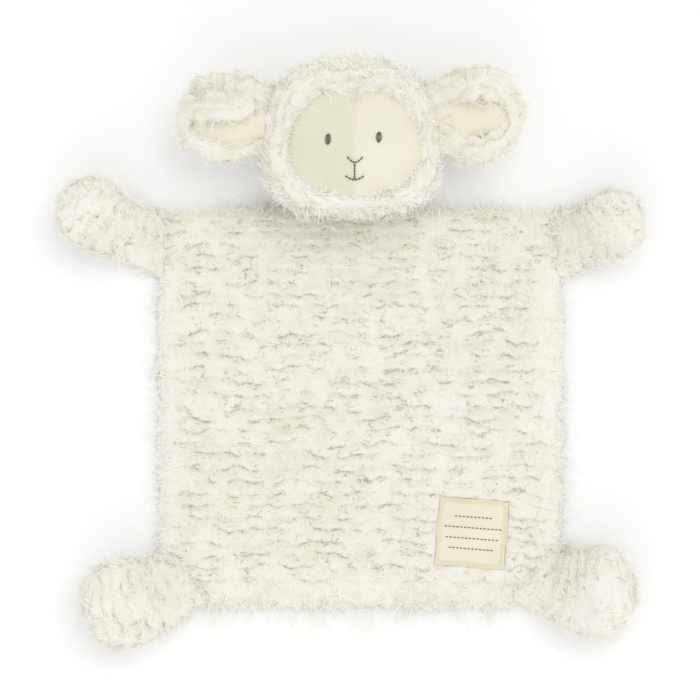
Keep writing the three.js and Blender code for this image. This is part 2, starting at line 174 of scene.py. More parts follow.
def new_object(name, points, faces, material, marks=None):
    """A mesh object with its doubles merged and its faces turned outwards. marks are values for its first
    points, which its material reads."""
    mesh = bpy.data.meshes.new(name)
    mesh.from_pydata((points.reshape(-1, 3) * MM).tolist(), [], faces)
    for key, values in (marks or {}).items():
        filled = np.zeros(len(mesh.vertices), np.float32)
        filled[: values.size] = values.ravel()
        mesh.attributes.new(key, "FLOAT", "POINT").data.foreach_set("value", filled)
    work = bmesh.new()
    work.from_mesh(mesh)
    bmesh.ops.remove_doubles(work, verts=work.verts, dist=MERGE_DISTANCE)
    bmesh.ops.dissolve_degenerate(work, edges=work.edges, dist=MERGE_DISTANCE / 10)
    bmesh.ops.recalc_face_normals(work, faces=work.faces)
    work.to_mesh(mesh)
    work.free()
    mesh.shade_smooth()
    mesh.set_sharp_from_angle(angle=SHARP_ANGLE)
    mesh.materials.append(material)
    print(name, len(mesh.polygons), "faces")
    return placed(name, mesh)


def closed_between(name, outer, inner, material, marks=None, around=False):
    """The closed solid between two grids, with a wall that joins their rims. Where the columns run round, it
    is a bowl: the wall joins the first rows, and the last rows are drawn to a point."""
    rows, columns = outer.shape[:2]
    start = rows * columns
    rim = list(range(columns)) if around else rim_of(rows, columns)
    faces = grid_faces(rows, columns, around=around)
    faces += grid_faces(*inner.shape[:2], start, around, flipped=True)
    faces += [(b, a, start + a, start + b) for a, b in zip(rim, rim[1:] + rim[:1])]
    points = np.concatenate([outer.reshape(-1, 3), inner.reshape(-1, 3)])
    return new_object(name, points, faces, material, marks)


def slopes(points, around=False):
    """How a grid of points runs along its rows and its columns, and its normals, all of length 1."""
    if around:
        wide = np.concatenate([points[:, -1:], points, points[:, :1]], axis=1)
        across = (wide[:, 2:] - wide[:, :-2]) / 2
    else:
        across = np.gradient(points, axis=1)
    along = np.gradient(points, axis=0)
    return unit(across), unit(along), unit(np.cross(across, along))


# %% [markdown]
# ## Tufts
# The plush is knitted in rows of thick tufts that lie over each other like shingles. Between two rows runs
# a crevice that wanders, and opens only here and there: elsewhere the tufts have grown together. One
# function works this out for any piece from its cloth coordinates: s across the rows and t along the way
# the pile lies. The relief becomes geometry, because a bump would leave the outline smooth. The crevice
# itself is thinner than a face of the mesh, so its place is kept as smooth values, from which the
# material paints the shade down in it as a sharp dark line.

# %% Random waves
def waves(s, t, size, rng, count=6):
    """A slow random wave over cloth coordinates, about -1 to 1."""
    total = np.zeros_like(s)
    for _ in range(count):
        a, k = rng.uniform(0, math.tau), math.tau / (size * rng.uniform(0.6, 1.5))
        total += np.sin(k * (s * math.cos(a) + t * math.sin(a)) + rng.uniform(0, math.tau))
    return total / (count / 2)


def wander(s, sizes, rng):
    """A random wave along a row, about -1 to 1."""
    total = np.zeros_like(s)
    for size in sizes:
        total += np.sin(math.tau * s / (size * rng.uniform(0.8, 1.25)) + rng.uniform(0, math.tau))
    return total / len(sizes) * 1.5


def lumps(points, size, seed):
    """A slow random wave about -1 to 1 for each point, for the unevenness of stuffed cloth."""
    rng = np.random.default_rng(seed)
    total = np.zeros(points.shape[:-1])
    for _ in range(7):
        way = unit(rng.normal(size=3)) * math.tau / (size * rng.uniform(0.7, 1.6))
        total += np.sin(points @ way + rng.uniform(0, math.tau))
    return total / 4


# %% Tuft relief
ROW_PITCH = 7.4  # millimetres, as all sizes of the cloth
ROW_SWAY, ROW_SWAY_SIZE = 1.6, 45.0  # how far all rows swing together, and over what length
ROW_JITTER = 0.13  # how unevenly they are spaced, as a share of the pitch
ROW_WANDER, ROW_WANDER_SIZES = 1.25, (44.0, 23.0, 13.0)  # how each line wanders by itself
SLIT_SIZES = (61.0, 29.0, 15.0)  # over what lengths its crevice opens and closes
TUFT_HEIGHT = 2.3
TUFT_PEAK, TUFT_EDGE = 0.75, 0.87  # where in its row a tuft is highest, and where it starts to fall
TUFT_FOOT, TUFT_LIP, TUFT_CUT = 0.4, 0.25, 0.75  # shares of the height: its foot, its lip, and over a crevice
ROUGHNESS = ((0.35, 14.0, 6), (0.2, 5.0, 9))  # on top of it: how high, over what length, from how many waves
TONE_SIZE, LEAN_SIZE = 22.0, 18.0  # over what lengths the tone and the lean of the pile change
CREVICE_HALF = 2.0  # threads grow thinner this close to a crevice


def tufts(s, t, seed, height=TUFT_HEIGHT, lean=0.5):
    """For each point: height over the cloth, lean of the pile, and marks for the material and the threads."""
    rng = np.random.default_rng(seed)
    t = t + ROW_SWAY * waves(s, t, ROW_SWAY_SIZE, rng)
    low, rows = t.min() - ROW_PITCH, int((t.max() - t.min()) / ROW_PITCH) + 3
    above, below = np.full_like(t, low - ROW_PITCH), np.full_like(t, np.inf)
    open_above, open_below = np.zeros_like(t), np.zeros_like(t)
    for row in range(rows + 1):
        line = low + (row + rng.uniform(-ROW_JITTER, ROW_JITTER)) * ROW_PITCH
        line = line + ROW_WANDER * wander(s, ROW_WANDER_SIZES, rng)
        slit = clamp(0.55 + 0.8 * wander(s, SLIT_SIZES, rng))
        passed = t >= line
        above, open_above = np.where(passed, line, above), np.where(passed, slit, open_above)
        first = ~passed & np.isinf(below)
        below, open_below = np.where(first, line, below), np.where(first, slit, open_below)
    share = (t - above) / (below - above)
    opened = mix(open_above, open_below, ease(share))
    lip = ease(clamp(share / TUFT_PEAK)) * (1 - ease(past(share, TUFT_EDGE, 1 - TUFT_EDGE)))
    relief = height * (TUFT_FOOT + (TUFT_LIP + TUFT_CUT * open_below) * lip)
    for rough, size, count in ROUGHNESS:
        relief = relief + rough * waves(s, t, size, rng, count)
    # across and near place each crevice for the material, which paints its shade as a dark line. crown falls
    # by an open crevice, where fewer threads grow and the ground's colour is painted darker. tone differs at
    # random.
    marks = {
        "across": np.sin(math.tau * share) * ROW_PITCH / math.tau,
        "near": np.cos(math.tau * share),
        "opened": opened,
        "tone": clamp(0.5 + 0.35 * waves(s, t, TONE_SIZE, rng)),
        "crown": 1 - opened * fading(np.minimum(t - above, below - t), CREVICE_HALF),
    }
    return np.maximum(relief, 0.2), lean * waves(s, t, LEAN_SIZE, rng), marks


# %% [markdown]
# ## Threads
# A Geometry Nodes tree scatters points over the skin, more where the skin's growth is high, and stands a
# short curve on each. The curve runs the way the pile is combed, lifts off the cloth, and wanders a
# little. Its neighbours wander alike, because the wandering comes from one noise over the whole piece, and
# so the threads gather into locks. Blender's hair could grow them too, but only a mesh can be exported. So
# each curve becomes a thin tube with three sides: hundreds of thousands of them fit in a model, where
# round tubes would not.

# %% Tree helpers
def put(tree, kind, inputs=None, **settings):
    """A new node with its settings, whose inputs are given values or linked to other sockets."""
    made = tree.nodes.new(kind)
    for key, value in settings.items():
        setattr(made, key, value)
    for key, value in (inputs or {}).items():
        if isinstance(value, bpy.types.NodeSocket):
            tree.links.new(value, made.inputs[key])
        else:
            made.inputs[key].default_value = value
    return made


def result(tree, kind, inputs=None, **settings):
    """The first output of a new node."""
    return put(tree, kind, inputs, **settings).outputs[0]


def maths(tree, operation, *values):
    return result(tree, "ShaderNodeMath", dict(enumerate(values)), operation=operation)


def times(tree, first, *others):
    for value in others:
        first = maths(tree, "MULTIPLY", first, value)
    return first


def plus(tree, first, *others):
    for value in others:
        first = maths(tree, "ADD", first, value)
    return first


def minus(tree, value, other):
    return maths(tree, "SUBTRACT", value, other)


def vectors(tree, operation, *values):
    return result(tree, "ShaderNodeVectorMath", dict(enumerate(values)), operation=operation)


def scaled(tree, vector, by):
    return result(tree, "ShaderNodeVectorMath", {"Vector": vector, "Scale": by}, operation="SCALE")


# %% Tree helpers for what each point knows
def named(tree, name, kind="FLOAT"):
    return put(tree, "GeometryNodeInputNamedAttribute", {"Name": name}, data_type=kind).outputs["Attribute"]


def keep(tree, geometry, name, value, kind="FLOAT"):
    inputs = {"Geometry": geometry, "Name": name, "Value": value}
    return result(tree, "GeometryNodeStoreNamedAttribute", inputs, data_type=kind, domain="POINT")


def chance(tree, low, high, seed, salt):
    """A random number for each point. salt keeps the draws of one tree apart."""
    own = plus(tree, seed, salt)
    return put(tree, "FunctionNodeRandomValue", {2: low, 3: high, 8: own}, data_type="FLOAT").outputs[1]


# %% How a thread tree starts and ends
def new_thread_tree(name, inputs):
    """An empty tree for geometry with its named inputs, and the sockets that they come in by."""
    tree = bpy.data.node_groups.new(name, "GeometryNodeTree")
    tree.interface.new_socket("Geometry", in_out="INPUT", socket_type="NodeSocketGeometry")
    for key, (kind, value) in inputs.items():
        socket = tree.interface.new_socket(key, in_out="INPUT", socket_type=kind)
        if value is not None:
            socket.default_value = value
    tree.interface.new_socket("Geometry", in_out="OUTPUT", socket_type="NodeSocketGeometry")
    return tree, put(tree, "NodeGroupInput").outputs


def end_in_tubes(tree, curves, girth, sides, smooth, material, spent=()):
    """Ends a tree in tubes round its curves. spent names the attributes that the mesh doesn't need."""
    ring = result(tree, "GeometryNodeCurvePrimitiveCircle", {"Resolution": sides, "Radius": 0.5})
    inputs = {"Curve": curves, "Profile Curve": ring, "Scale": girth, "Fill Caps": True}
    tubes = result(tree, "GeometryNodeCurveToMesh", inputs)
    for name in spent:
        tubes = result(tree, "GeometryNodeRemoveAttribute", {"Geometry": tubes, "Name": name})
    tubes = result(tree, "GeometryNodeSetShadeSmooth", {"Geometry": tubes, "Shade Smooth": smooth})
    real = result(tree, "GeometryNodeRealizeInstances", {"Geometry": tubes})
    dyed = result(tree, "GeometryNodeSetMaterial", {"Geometry": real, "Material": material})
    put(tree, "NodeGroupOutput", {"Geometry": dyed})


# %% Sizes of the threads
THREAD_INPUTS = {
    "Density": ("NodeSocketFloat", 1.0),  # threads to a square centimetre
    "Length": ("NodeSocketFloat", 0.007),
    "Thickness": ("NodeSocketFloat", 0.0004),
    "Lift": ("NodeSocketFloat", 0.3),  # how high a thread bows, as a share of its length
    "Spread": ("NodeSocketFloat", 0.4),  # radians to either side of the comb
    "Curl": ("NodeSocketFloat", 0.5),
    "Ground": ("NodeSocketFloat", 0.0004),  # no thread comes lower than this
    "Points": ("NodeSocketInt", 5),  # along each thread
    "Seed": ("NodeSocketInt", 1),
    "Material": ("NodeSocketMaterial", None),
}
TO_SQUARE_METRES = 1e4
SIZES, HEIGHTS, TONES, GIRTHS = (0.55, 1.25), (0.3, 1.5), (-0.25, 0.25), (0.7, 1.3)  # how threads differ
WANDERING = (  # waves to a metre, how far they push, and how much they change along a thread
    (190.0, 0.8, 0.1),  # gathers the threads of a tuft
    (520.0, 0.5, 0.35),  # lets single ones wriggle
)
BOW_FALL = 0.62  # how far a thread's tip comes down again
TIP_TAPER = 0.6
SPENT = ("growth", "up", "comb", "reach", "way", "size", "off", "girth", "root")


# %% The thread tree
def make_thread_tree():
    tree, given = new_thread_tree("pile threads", THREAD_INPUTS)
    seed = given["Seed"]

    # Where the threads stand
    wanted = times(tree, given["Density"], TO_SQUARE_METRES, named(tree, "growth"))
    scatter = {"Mesh": given["Geometry"], "Density": wanted, "Seed": seed}
    points = result(tree, "GeometryNodeDistributePointsOnFaces", scatter, distribute_method="RANDOM")

    # What each thread knows: the way it is combed, its length, how far it stands off, its tone and girth
    comb = named(tree, "comb", "FLOAT_VECTOR")
    side = vectors(tree, "CROSS_PRODUCT", named(tree, "up", "FLOAT_VECTOR"), comb)
    swing = times(tree, chance(tree, -1.0, 1.0, seed, 11), given["Spread"])
    ahead = scaled(tree, comb, maths(tree, "COSINE", swing))
    aside = scaled(tree, side, maths(tree, "SINE", swing))
    way = vectors(tree, "NORMALIZE", vectors(tree, "ADD", ahead, aside))
    size = times(tree, given["Length"], chance(tree, *SIZES, seed, 23), named(tree, "reach"))
    points = keep(tree, points, "way", way, "FLOAT_VECTOR")
    points = keep(tree, points, "size", size)
    points = keep(tree, points, "off", chance(tree, *HEIGHTS, seed, 37))
    points = keep(tree, points, "tone", plus(tree, named(tree, "tone"), chance(tree, *TONES, seed, 41)))
    points = keep(tree, points, "girth", chance(tree, *GIRTHS, seed, 53))

    # A straight curve of length 1 on each point, made real so that its own points can move
    line = result(tree, "GeometryNodeCurvePrimitiveLine", {"End": (0.0, 0.0, 1.0)})
    line = result(tree, "GeometryNodeResampleCurve", {"Curve": line, "Count": given["Points"]})
    stood = result(tree, "GeometryNodeInstanceOnPoints", {"Points": points, "Instance": line})
    curves = result(tree, "GeometryNodeRealizeInstances", {"Geometry": stood})
    curves = keep(tree, curves, "tip", result(tree, "GeometryNodeSplineParameter"))
    part = named(tree, "tip")
    height = result(tree, "ShaderNodeCombineXYZ", {"Z": part})
    foot = vectors(tree, "SUBTRACT", result(tree, "GeometryNodeInputPosition"), height)
    curves = keep(tree, curves, "root", foot, "FLOAT_VECTOR")
    root = named(tree, "root", "FLOAT_VECTOR")

    # Its path: along the comb, up off the cloth and down again, with the noises on top
    size = named(tree, "size")
    run = times(tree, size, part)
    path = scaled(tree, named(tree, "way", "FLOAT_VECTOR"), run)
    bow = times(tree, part, minus(tree, 1.0, times(tree, part, BOW_FALL)))
    rise = times(tree, bow, size, given["Lift"], named(tree, "off"))
    path = vectors(tree, "ADD", path, scaled(tree, named(tree, "up", "FLOAT_VECTOR"), rise))
    for scale, share, along in WANDERING:
        place = vectors(tree, "ADD", root, scaled(tree, path, along))
        noise = put(tree, "ShaderNodeTexNoise", {"Vector": place, "Scale": scale, "Detail": 0.0})
        centred = vectors(tree, "SUBTRACT", noise.outputs["Color"], (0.5, 0.5, 0.5))
        path = vectors(tree, "ADD", path, scaled(tree, centred, times(tree, run, given["Curl"], share * 2)))
    place = put(tree, "ShaderNodeSeparateXYZ", {"Vector": vectors(tree, "ADD", root, path)}).outputs
    above = maths(tree, "MAXIMUM", place["Z"], given["Ground"])
    final = result(tree, "ShaderNodeCombineXYZ", {"X": place["X"], "Y": place["Y"], "Z": above})
    curves = result(tree, "GeometryNodeSetPosition", {"Geometry": curves, "Position": final})

    # Its thickness, which tapers to the tip
    taper = minus(tree, 1.0, times(tree, maths(tree, "POWER", part, 2.0), TIP_TAPER))
    girth = times(tree, given["Thickness"], taper, named(tree, "girth"))
    end_in_tubes(tree, curves, girth, 3, False, given["Material"], SPENT)
    return tree


thread_tree = make_thread_tree()
print("thread tree", len(thread_tree.nodes), "nodes")


# %% From a skin to plain threads
def as_plain_mesh(name, skin, tree, values):
    """Runs a tree on a skin and keeps the result as a plain mesh. The skin is removed."""
    modifier = skin.modifiers.new("nodes", "NODES")
    modifier.node_group = tree
    for item in tree.interface.items_tree:
        if item.in_out == "INPUT" and item.name in values:
            modifier[item.identifier] = values[item.name]
    bpy.context.view_layer.update()
    graph = bpy.context.evaluated_depsgraph_get()
    mesh = bpy.data.meshes.new_from_object(skin.evaluated_get(graph), depsgraph=graph)
    mesh.name = name
    bpy.data.objects.remove(skin)
    print(name, len(mesh.polygons), "faces")
    return placed(name, mesh)


def new_skin(around, points, up, comb, growth, reach, tone):
    """An open mesh for the threads to stand on, with what they need to know at each of its points."""
    mesh = bpy.data.meshes.new("skin")
    faces = grid_faces(*points.shape[:2], around=around)
    mesh.from_pydata((points.reshape(-1, 3) * MM).tolist(), [], faces)
    for name, values in {"up": up, "comb": comb}.items():
        filled = np.broadcast_to(values, points.shape).astype(np.float32)
        mesh.attributes.new(name, "FLOAT_VECTOR", "POINT").data.foreach_set("vector", filled.ravel())
    for name, values in {"growth": growth, "reach": reach, "tone": tone}.items():
        filled = np.broadcast_to(values, points.shape[:2]).astype(np.float32)
        mesh.attributes.new(name, "FLOAT", "POINT").data.foreach_set("value", filled.ravel())
    return placed("skin", mesh)


# %% [markdown]
# Three kinds of thread make the plush: a short nap that lies on the tufts, longer single threads that have
# worked loose, and a fuzz so fine that it only softens the outline. A piece says how much of each it has.

# %% Kinds of thread
KIND_INPUTS = ("Density", "Length", "Thickness", "Lift", "Spread", "Curl", "Points")
KINDS = {
    "nap": (15.0, 0.0038, 0.0004, 0.12, 1.2, 0.5, 4),
    "long": (2.4, 0.0065, 0.0007, 0.3, 1.4, 1.0, 5),
    "fuzz": (45.0, 0.007, 0.0003, 0.7, 1.1, 0.9, 4),
}


def grow(name, seed, skin, kinds, around=False):
    """Grows kinds of thread on a skin. kinds gives each one's changes to its usual inputs and the skin."""
    made = []
    for k, (kind, changes) in enumerate(kinds.items()):
        values = dict(zip(KIND_INPUTS, KINDS[kind]), Seed=seed + k, Material=cloths["pile threads"])
        own = dict(skin)
        for key, value in changes.items():
            (own if key in skin else values)[key] = value
        made.append(as_plain_mesh(f"{name}_{kind}", new_skin(around, **own), thread_tree, values))
    return made


# %% [markdown]
# ## Colours and finishes
# Everything is cream, so small differences carry the picture: the pile is a warm white, painted darker
# towards its roots as painted shade, the velour of the face is more yellow, and the patch more yellow
# still. Colour values are written as they show in a picture and turned into the renderer's linear values
# here.


# %% Colour helpers
def linear(value):
    v = value / 255
    return v / 12.92 if v <= 0.04045 else ((v + 0.055) / 1.055) ** 2.4


def colour(red, green, blue):
    """A colour given as in a picture, 0 to 255, as linear values."""
    return (linear(red), linear(green), linear(blue), 1.0)


def noise(tree, place, scale, detail):
    return put(tree, "ShaderNodeTexNoise", {"Vector": place, "Scale": scale, "Detail": detail}).outputs["Fac"]


def ramp(tree, value, low, high):
    """0 at low and 1 at high, and straight between them."""
    return result(tree, "ShaderNodeMapRange", {"Value": value, "From Min": low, "From Max": high})


def attribute(tree, name):
    return put(tree, "ShaderNodeAttribute", attribute_name=name).outputs["Fac"]


def blended(tree, share, first, second):
    inputs = {0: share, 6: first, 7: second}
    return put(tree, "ShaderNodeMix", inputs, data_type="RGBA").outputs[2]


def new_group(name, inputs, output, kind):
    """A shader node group with named inputs and one output, and what its nodes start from."""
    tree = bpy.data.node_groups.new(name, "ShaderNodeTree")
    for key, value in inputs.items():
        socket = "NodeSocketColor" if isinstance(value, tuple) else "NodeSocketFloat"
        tree.interface.new_socket(key, in_out="INPUT", socket_type=socket).default_value = value
    tree.interface.new_socket(output, in_out="OUTPUT", socket_type=kind)
    given = put(tree, "NodeGroupInput").outputs
    return tree, given, put(tree, "ShaderNodeTexCoord").outputs["Object"]


# %% [markdown]
# Dye never takes evenly, and handled cloth clouds a little. The first group mixes two shades by a slow and
# a fine noise and by a value that can come from the piece, such as the tone of its tuft; that value also
# carries painted shade and painted light. The second gives the fine nap of a brushed cloth, or the crossing
# threads of a woven one, as a height for the bump.

# %% Dye, nap and weave
WHITE, GREY = (1.0, 1.0, 1.0, 1.0), (0.5, 0.5, 0.5, 1.0)
GRAIN_SHARE = 0.6
DARKEST, LIGHTEST = 0.9, 1.75  # the sums of noise and tone that show the plain shade and the plain light


def make_dye_and_shade():
    inputs = {"Light": WHITE, "Shade": GREY, "Cloud size": 30.0, "Grain size": 900.0, "Tone": 0.5}
    tree, given, place = new_group("dye and painted shade", inputs, "Colour", "NodeSocketColor")
    cloud = noise(tree, place, given["Cloud size"], 3.0)
    grain = times(tree, noise(tree, place, given["Grain size"], 2.0), GRAIN_SHARE)
    share = ramp(tree, plus(tree, cloud, grain, given["Tone"]), DARKEST, LIGHTEST)
    put(tree, "NodeGroupOutput", {"Colour": blended(tree, share, given["Shade"], given["Light"])})
    return tree


def make_nap():
    inputs = {"Size": 1500.0, "Depth": 0.5, "Weave": 0.0, "Threads": 1400.0}
    tree, given, place = new_group("nap and weave", inputs, "Height", "NodeSocketFloat")
    height = times(tree, noise(tree, place, given["Size"], 3.0), given["Depth"])
    spots = put(tree, "ShaderNodeSeparateXYZ", {"Vector": place}).outputs
    rows = [maths(tree, "SINE", times(tree, spots[axis], given["Threads"])) for axis in ("X", "Y")]
    put(tree, "NodeGroupOutput", {"Height": plus(tree, height, times(tree, *rows, given["Weave"]))})
    return tree


dye_and_shade, nap = make_dye_and_shade(), make_nap()
print(dye_and_shade.name, "and", nap.name)

# %% [markdown]
# The pile parts between two rows of tufts, and the shade down at the roots there is painted in as a dark
# line. Drawn as geometry it would need a mesh many times finer, so this group paints that shade from the
# marks that the relief left on the cloth, and bends it with a noise. Small partings run between the large
# ones: short painted marks of shade along the lines where one noise passes its middle value and another is
# high.

# %% Partings
CREVICE_INPUTS = {"Width": 0.56, "Shade width": 2.2, "Darkness": 0.7, "Shade": 0.1, "Small darkness": 0.62}
BEND_SCALE, BEND_REACH = 300.0, 3.4  # how finely a parting is bent, and how far
BREAK_SCALE, BREAK_REACH = 210.0, 4.5  # how finely and how much it is broken
OPENED, LEAST_WIDE = (0.45, 1.2), 0.15  # from closed to fully open, and the width of a closed one's line
SHOWN, SHOWN_SCALE = (0.62, 0.76), 1.3  # where a small parting shows, by a noise that is finer by this
SMALL_OPENED = (0.1, 0.6)  # they fade out where the tufts have grown together
SMALL_PARTINGS = (  # scale, turn in radians, stretch, width, share that shows
    (170.0, 0.1, 0.45, 0.04, 0.05),
    (240.0, -0.35, 0.6, 0.055, 0.04),
    (230.0, 1.5, 0.6, 0.055, 0.065),
    (190.0, 0.5, 1.0, 0.05, 0.05),
)


def partings(tree, place, scale, turn, stretch, width, share):
    mapped = {"Vector": place, "Rotation": (0.0, 0.0, turn), "Scale": (stretch, 1.0, 1.0)}
    place = result(tree, "ShaderNodeMapping", mapped)
    from_middle = maths(tree, "ABSOLUTE", minus(tree, noise(tree, place, scale, 1.0), 0.5))
    spots = noise(tree, place, scale * SHOWN_SCALE, 1.0)
    shown = ramp(tree, spots, SHOWN[0] - share, SHOWN[1] - share)
    return times(tree, ramp(tree, from_middle, width, 0.0), shown)


def make_crevice_shade():
    """Painted shade in the parted pile: 1 in a crevice between two rows of tufts and 0 on them."""
    tree, given, place = new_group("painted crevice shade", CREVICE_INPUTS, "Mask", "NodeSocketFloat")
    across, near, opened = [attribute(tree, name) for name in ("across", "near", "opened")]
    bend = times(tree, minus(tree, noise(tree, place, BEND_SCALE, 2.0), 0.5), BEND_REACH)
    away = maths(tree, "ABSOLUTE", plus(tree, across, bend))
    broken = times(tree, minus(tree, noise(tree, place, BREAK_SCALE, 3.0), 0.5), BREAK_REACH)
    wide = ramp(tree, plus(tree, opened, broken), *OPENED)
    wide = times(tree, wide, maths(tree, "GREATER_THAN", near, 0.0))
    line = ramp(tree, away, times(tree, given["Width"], plus(tree, wide, LEAST_WIDE)), 0.0)
    line = times(tree, line, wide, given["Darkness"])
    soft = times(tree, ramp(tree, away, given["Shade width"], 0.0), wide, given["Shade"])
    small = partings(tree, place, *SMALL_PARTINGS[0])
    for row in SMALL_PARTINGS[1:]:
        small = maths(tree, "MAXIMUM", small, partings(tree, place, *row))
    small = times(tree, small, ramp(tree, opened, *SMALL_OPENED), given["Small darkness"])
    large = maths(tree, "MAXIMUM", line, soft)
    put(tree, "NodeGroupOutput", {"Mask": maths(tree, "MAXIMUM", large, small)})
    return tree


crevice = make_crevice_shade()
print(crevice.name, len(crevice.nodes), "nodes")

# %% [markdown]
# A thread is painted lighter at its tip than at its root, as painted shade down in the dense pile, and no
# two tufts are quite alike. Both come from values that the trees left on the mesh. The velour is painted in
# two shades: the left half of the face is darker, as painted shade on the side away from the window light.

# %% The finishes
cloths = {}


def new_cloth(name, light, shade, roughness, sheen, bump, tone=0.0, marks=None, deep=None, nap_sizes=None):
    """A cloth material: the dye and painted shade group for its colour and the nap group for its bump. marks
    gives the shares that the piece's own values add to its tone, among them painted shade and painted
    light, and deep is the colour of the painted shade in its partings, if it has any."""
    made = bpy.data.materials.new(name)
    made.use_nodes = True
    tree = made.node_tree
    tree.nodes.clear()
    dyed = put(tree, "ShaderNodeGroup", {"Light": colour(*light), "Shade": colour(*shade)}, node_tree=dye_and_shade)
    for key, share in (marks or {}).items():
        tone = plus(tree, tone, times(tree, attribute(tree, key), share))
    if marks:
        tree.links.new(tone, dyed.inputs["Tone"])
    shown = dyed.outputs["Colour"]
    if deep:
        crevice_shade = result(tree, "ShaderNodeGroup", node_tree=crevice)
        shown = blended(tree, crevice_shade, shown, colour(*deep))
    napped = result(tree, "ShaderNodeGroup", nap_sizes, node_tree=nap)
    bumps = result(tree, "ShaderNodeBump", {"Height": napped, "Strength": 1.0, "Distance": bump})
    inputs = {
        "Base Color": shown,
        "Roughness": roughness,
        "Sheen Weight": sheen,
        "Sheen Roughness": 0.5,
        "Specular IOR Level": 0.2,
        "Normal": bumps,
    }
    cloth = result(tree, "ShaderNodeBsdfPrincipled", inputs)
    put(tree, "ShaderNodeOutputMaterial", {"Surface": cloth})
    cloths[name] = made


# crown paints shade by the open crevices of the pile; tip paints shade towards a thread's root; seam paints a
# highlight down the face's seam; hem darkens the ribbon's double layer and paints a line of shade inside it;
# tone differs at random.
PLUSH_CREVICE_SHADE_AND_TONE, SEAM_PAINTED_HIGHLIGHT = {"crown": 0.5, "tone": 0.4}, {"seam": 0.6}
THREAD_ROOT_SHADE_AND_TONE, HEM_LAYER_AND_GROOVE_SHADE = {"tip": 0.35, "tone": 0.6}, {"hem": -0.5}
RIBBON_WEAVE = {"Weave": 0.5, "Threads": 9000.0}

# Each row: name, light, shade, roughness, sheen, depth of its bump in metres, and its plain tone
new_cloth("pile threads", (255, 254, 248), (248, 245, 234), 0.9, 0.6, 1e-5, marks=THREAD_ROOT_SHADE_AND_TONE)
# The pile ground's partings are painted in (150, 137, 118), a painted shade.
new_cloth("pile ground", (244, 242, 233), (235, 231, 217), 1.0, 0.5, 2e-4, 0.0, PLUSH_CREVICE_SHADE_AND_TONE, (150, 137, 118))
new_cloth("velour of the right half", (244, 240, 225), (234, 229, 210), 0.9, 0.35, 1.2e-4, 0.45, SEAM_PAINTED_HIGHLIGHT)
new_cloth("velour in painted shade", (238, 234, 217), (225, 222, 199), 0.9, 0.35, 1.2e-4, 0.45, SEAM_PAINTED_HIGHLIGHT)
new_cloth("ear lining", (246, 241, 226), (238, 232, 214), 0.9, 0.3, 1.5e-4)
new_cloth("underside", (240, 238, 226), (231, 228, 213), 0.95, 0.2, 1.2e-4)
new_cloth("filling", (248, 247, 243), (238, 236, 229), 1.0, 0.1, 4e-4, nap_sizes={"Size": 500.0})
new_cloth("ribbon", (241, 237, 214), (224, 218, 187), 0.8, 0.15, 4e-5, 0.75, HEM_LAYER_AND_GROOVE_SHADE, nap_sizes=RIBBON_WEAVE)
new_cloth("embroidery thread", (118, 114, 101), (88, 85, 75), 0.55, 0.3, 3e-5)
new_cloth("patch thread", (136, 129, 108), (112, 106, 88), 0.6, 0.2, 2e-5)
new_cloth("hem thread", (236, 226, 198), (222, 210, 180), 0.7, 0.2, 2e-5)
print(len(cloths), "finishes")

# %% [markdown]
# ## The blanket
# The body is a flat square of plush, sewn to a smooth ply round its edge. The plush rolls down to that
# seam, so the pile turns outwards there and shows as a fringe. In the middle it is combed down towards
# the feet. The patch presses a shallow place into it. A cloth simulation could lay the blanket down, but
# it lies flat here, its tufts hide its small folds, and a formula gives the same cloth each time.

# %% Blanket sizes
HALF_X, HALF_Y = 117.1, 114.1
CORNER_CUT = 26.0  # how far the feet cut off each lower corner, along either edge
PILE_Z = 2.3  # the backing of the plush lies here
PILE_RISE, PILE_BASE = 7.6, 0.9  # how high the pile stands over it, and what of that the tufts add
EDGE_ROLL = 26.0  # the plush begins to roll down this far from its edge
PATCH_X, PATCH_Y, PATCH_Z = 66.4, -77.5, 8.3
PATCH_HALF_U, PATCH_HALF_V = 21.0, 20.5
PATCH_TURN = math.radians(-4.5)
BLANKET_STEP = 0.85  # from one point of its mesh to the next


def inside_edge(x, y):
    """How far a point of the blanket lies inside its edge."""
    corner = np.where(y < 0, HALF_X + HALF_Y - CORNER_CUT, HALF_X + HALF_Y)
    to_corner = (corner - np.abs(x) - np.abs(y)) / math.sqrt(2)
    to_side = np.minimum(HALF_X - np.abs(x), HALF_Y - np.abs(y))
    return np.maximum(0, np.where(y < 0, np.minimum(to_side, to_corner), to_side))


def on_patch(x, y, margin):
    """1 under the patch and 0 outside it, with a soft edge of the margin's width."""
    c, s = math.cos(PATCH_TURN), math.sin(PATCH_TURN)
    dx, dy = x - PATCH_X, y - PATCH_Y
    u, v = np.abs(dx * c + dy * s) - PATCH_HALF_U, np.abs(dy * c - dx * s) - PATCH_HALF_V
    return ease(fading(np.maximum(u, v), margin))


def steps(length):
    return int(round(length / BLANKET_STEP)) + 1


def blanket_plan(low, high, rows=None, columns=steps(2 * HALF_X)):
    """Places of the blanket's plan between two heights on the picture, drawn in at the lower corners."""
    rows = rows or steps(high - low)
    column, y = np.meshgrid(np.linspace(-HALF_X, HALF_X, columns), np.linspace(high, low, rows))
    return column * (HALF_X - np.maximum(0, CORNER_CUT - HALF_Y - y)) / HALF_X, y


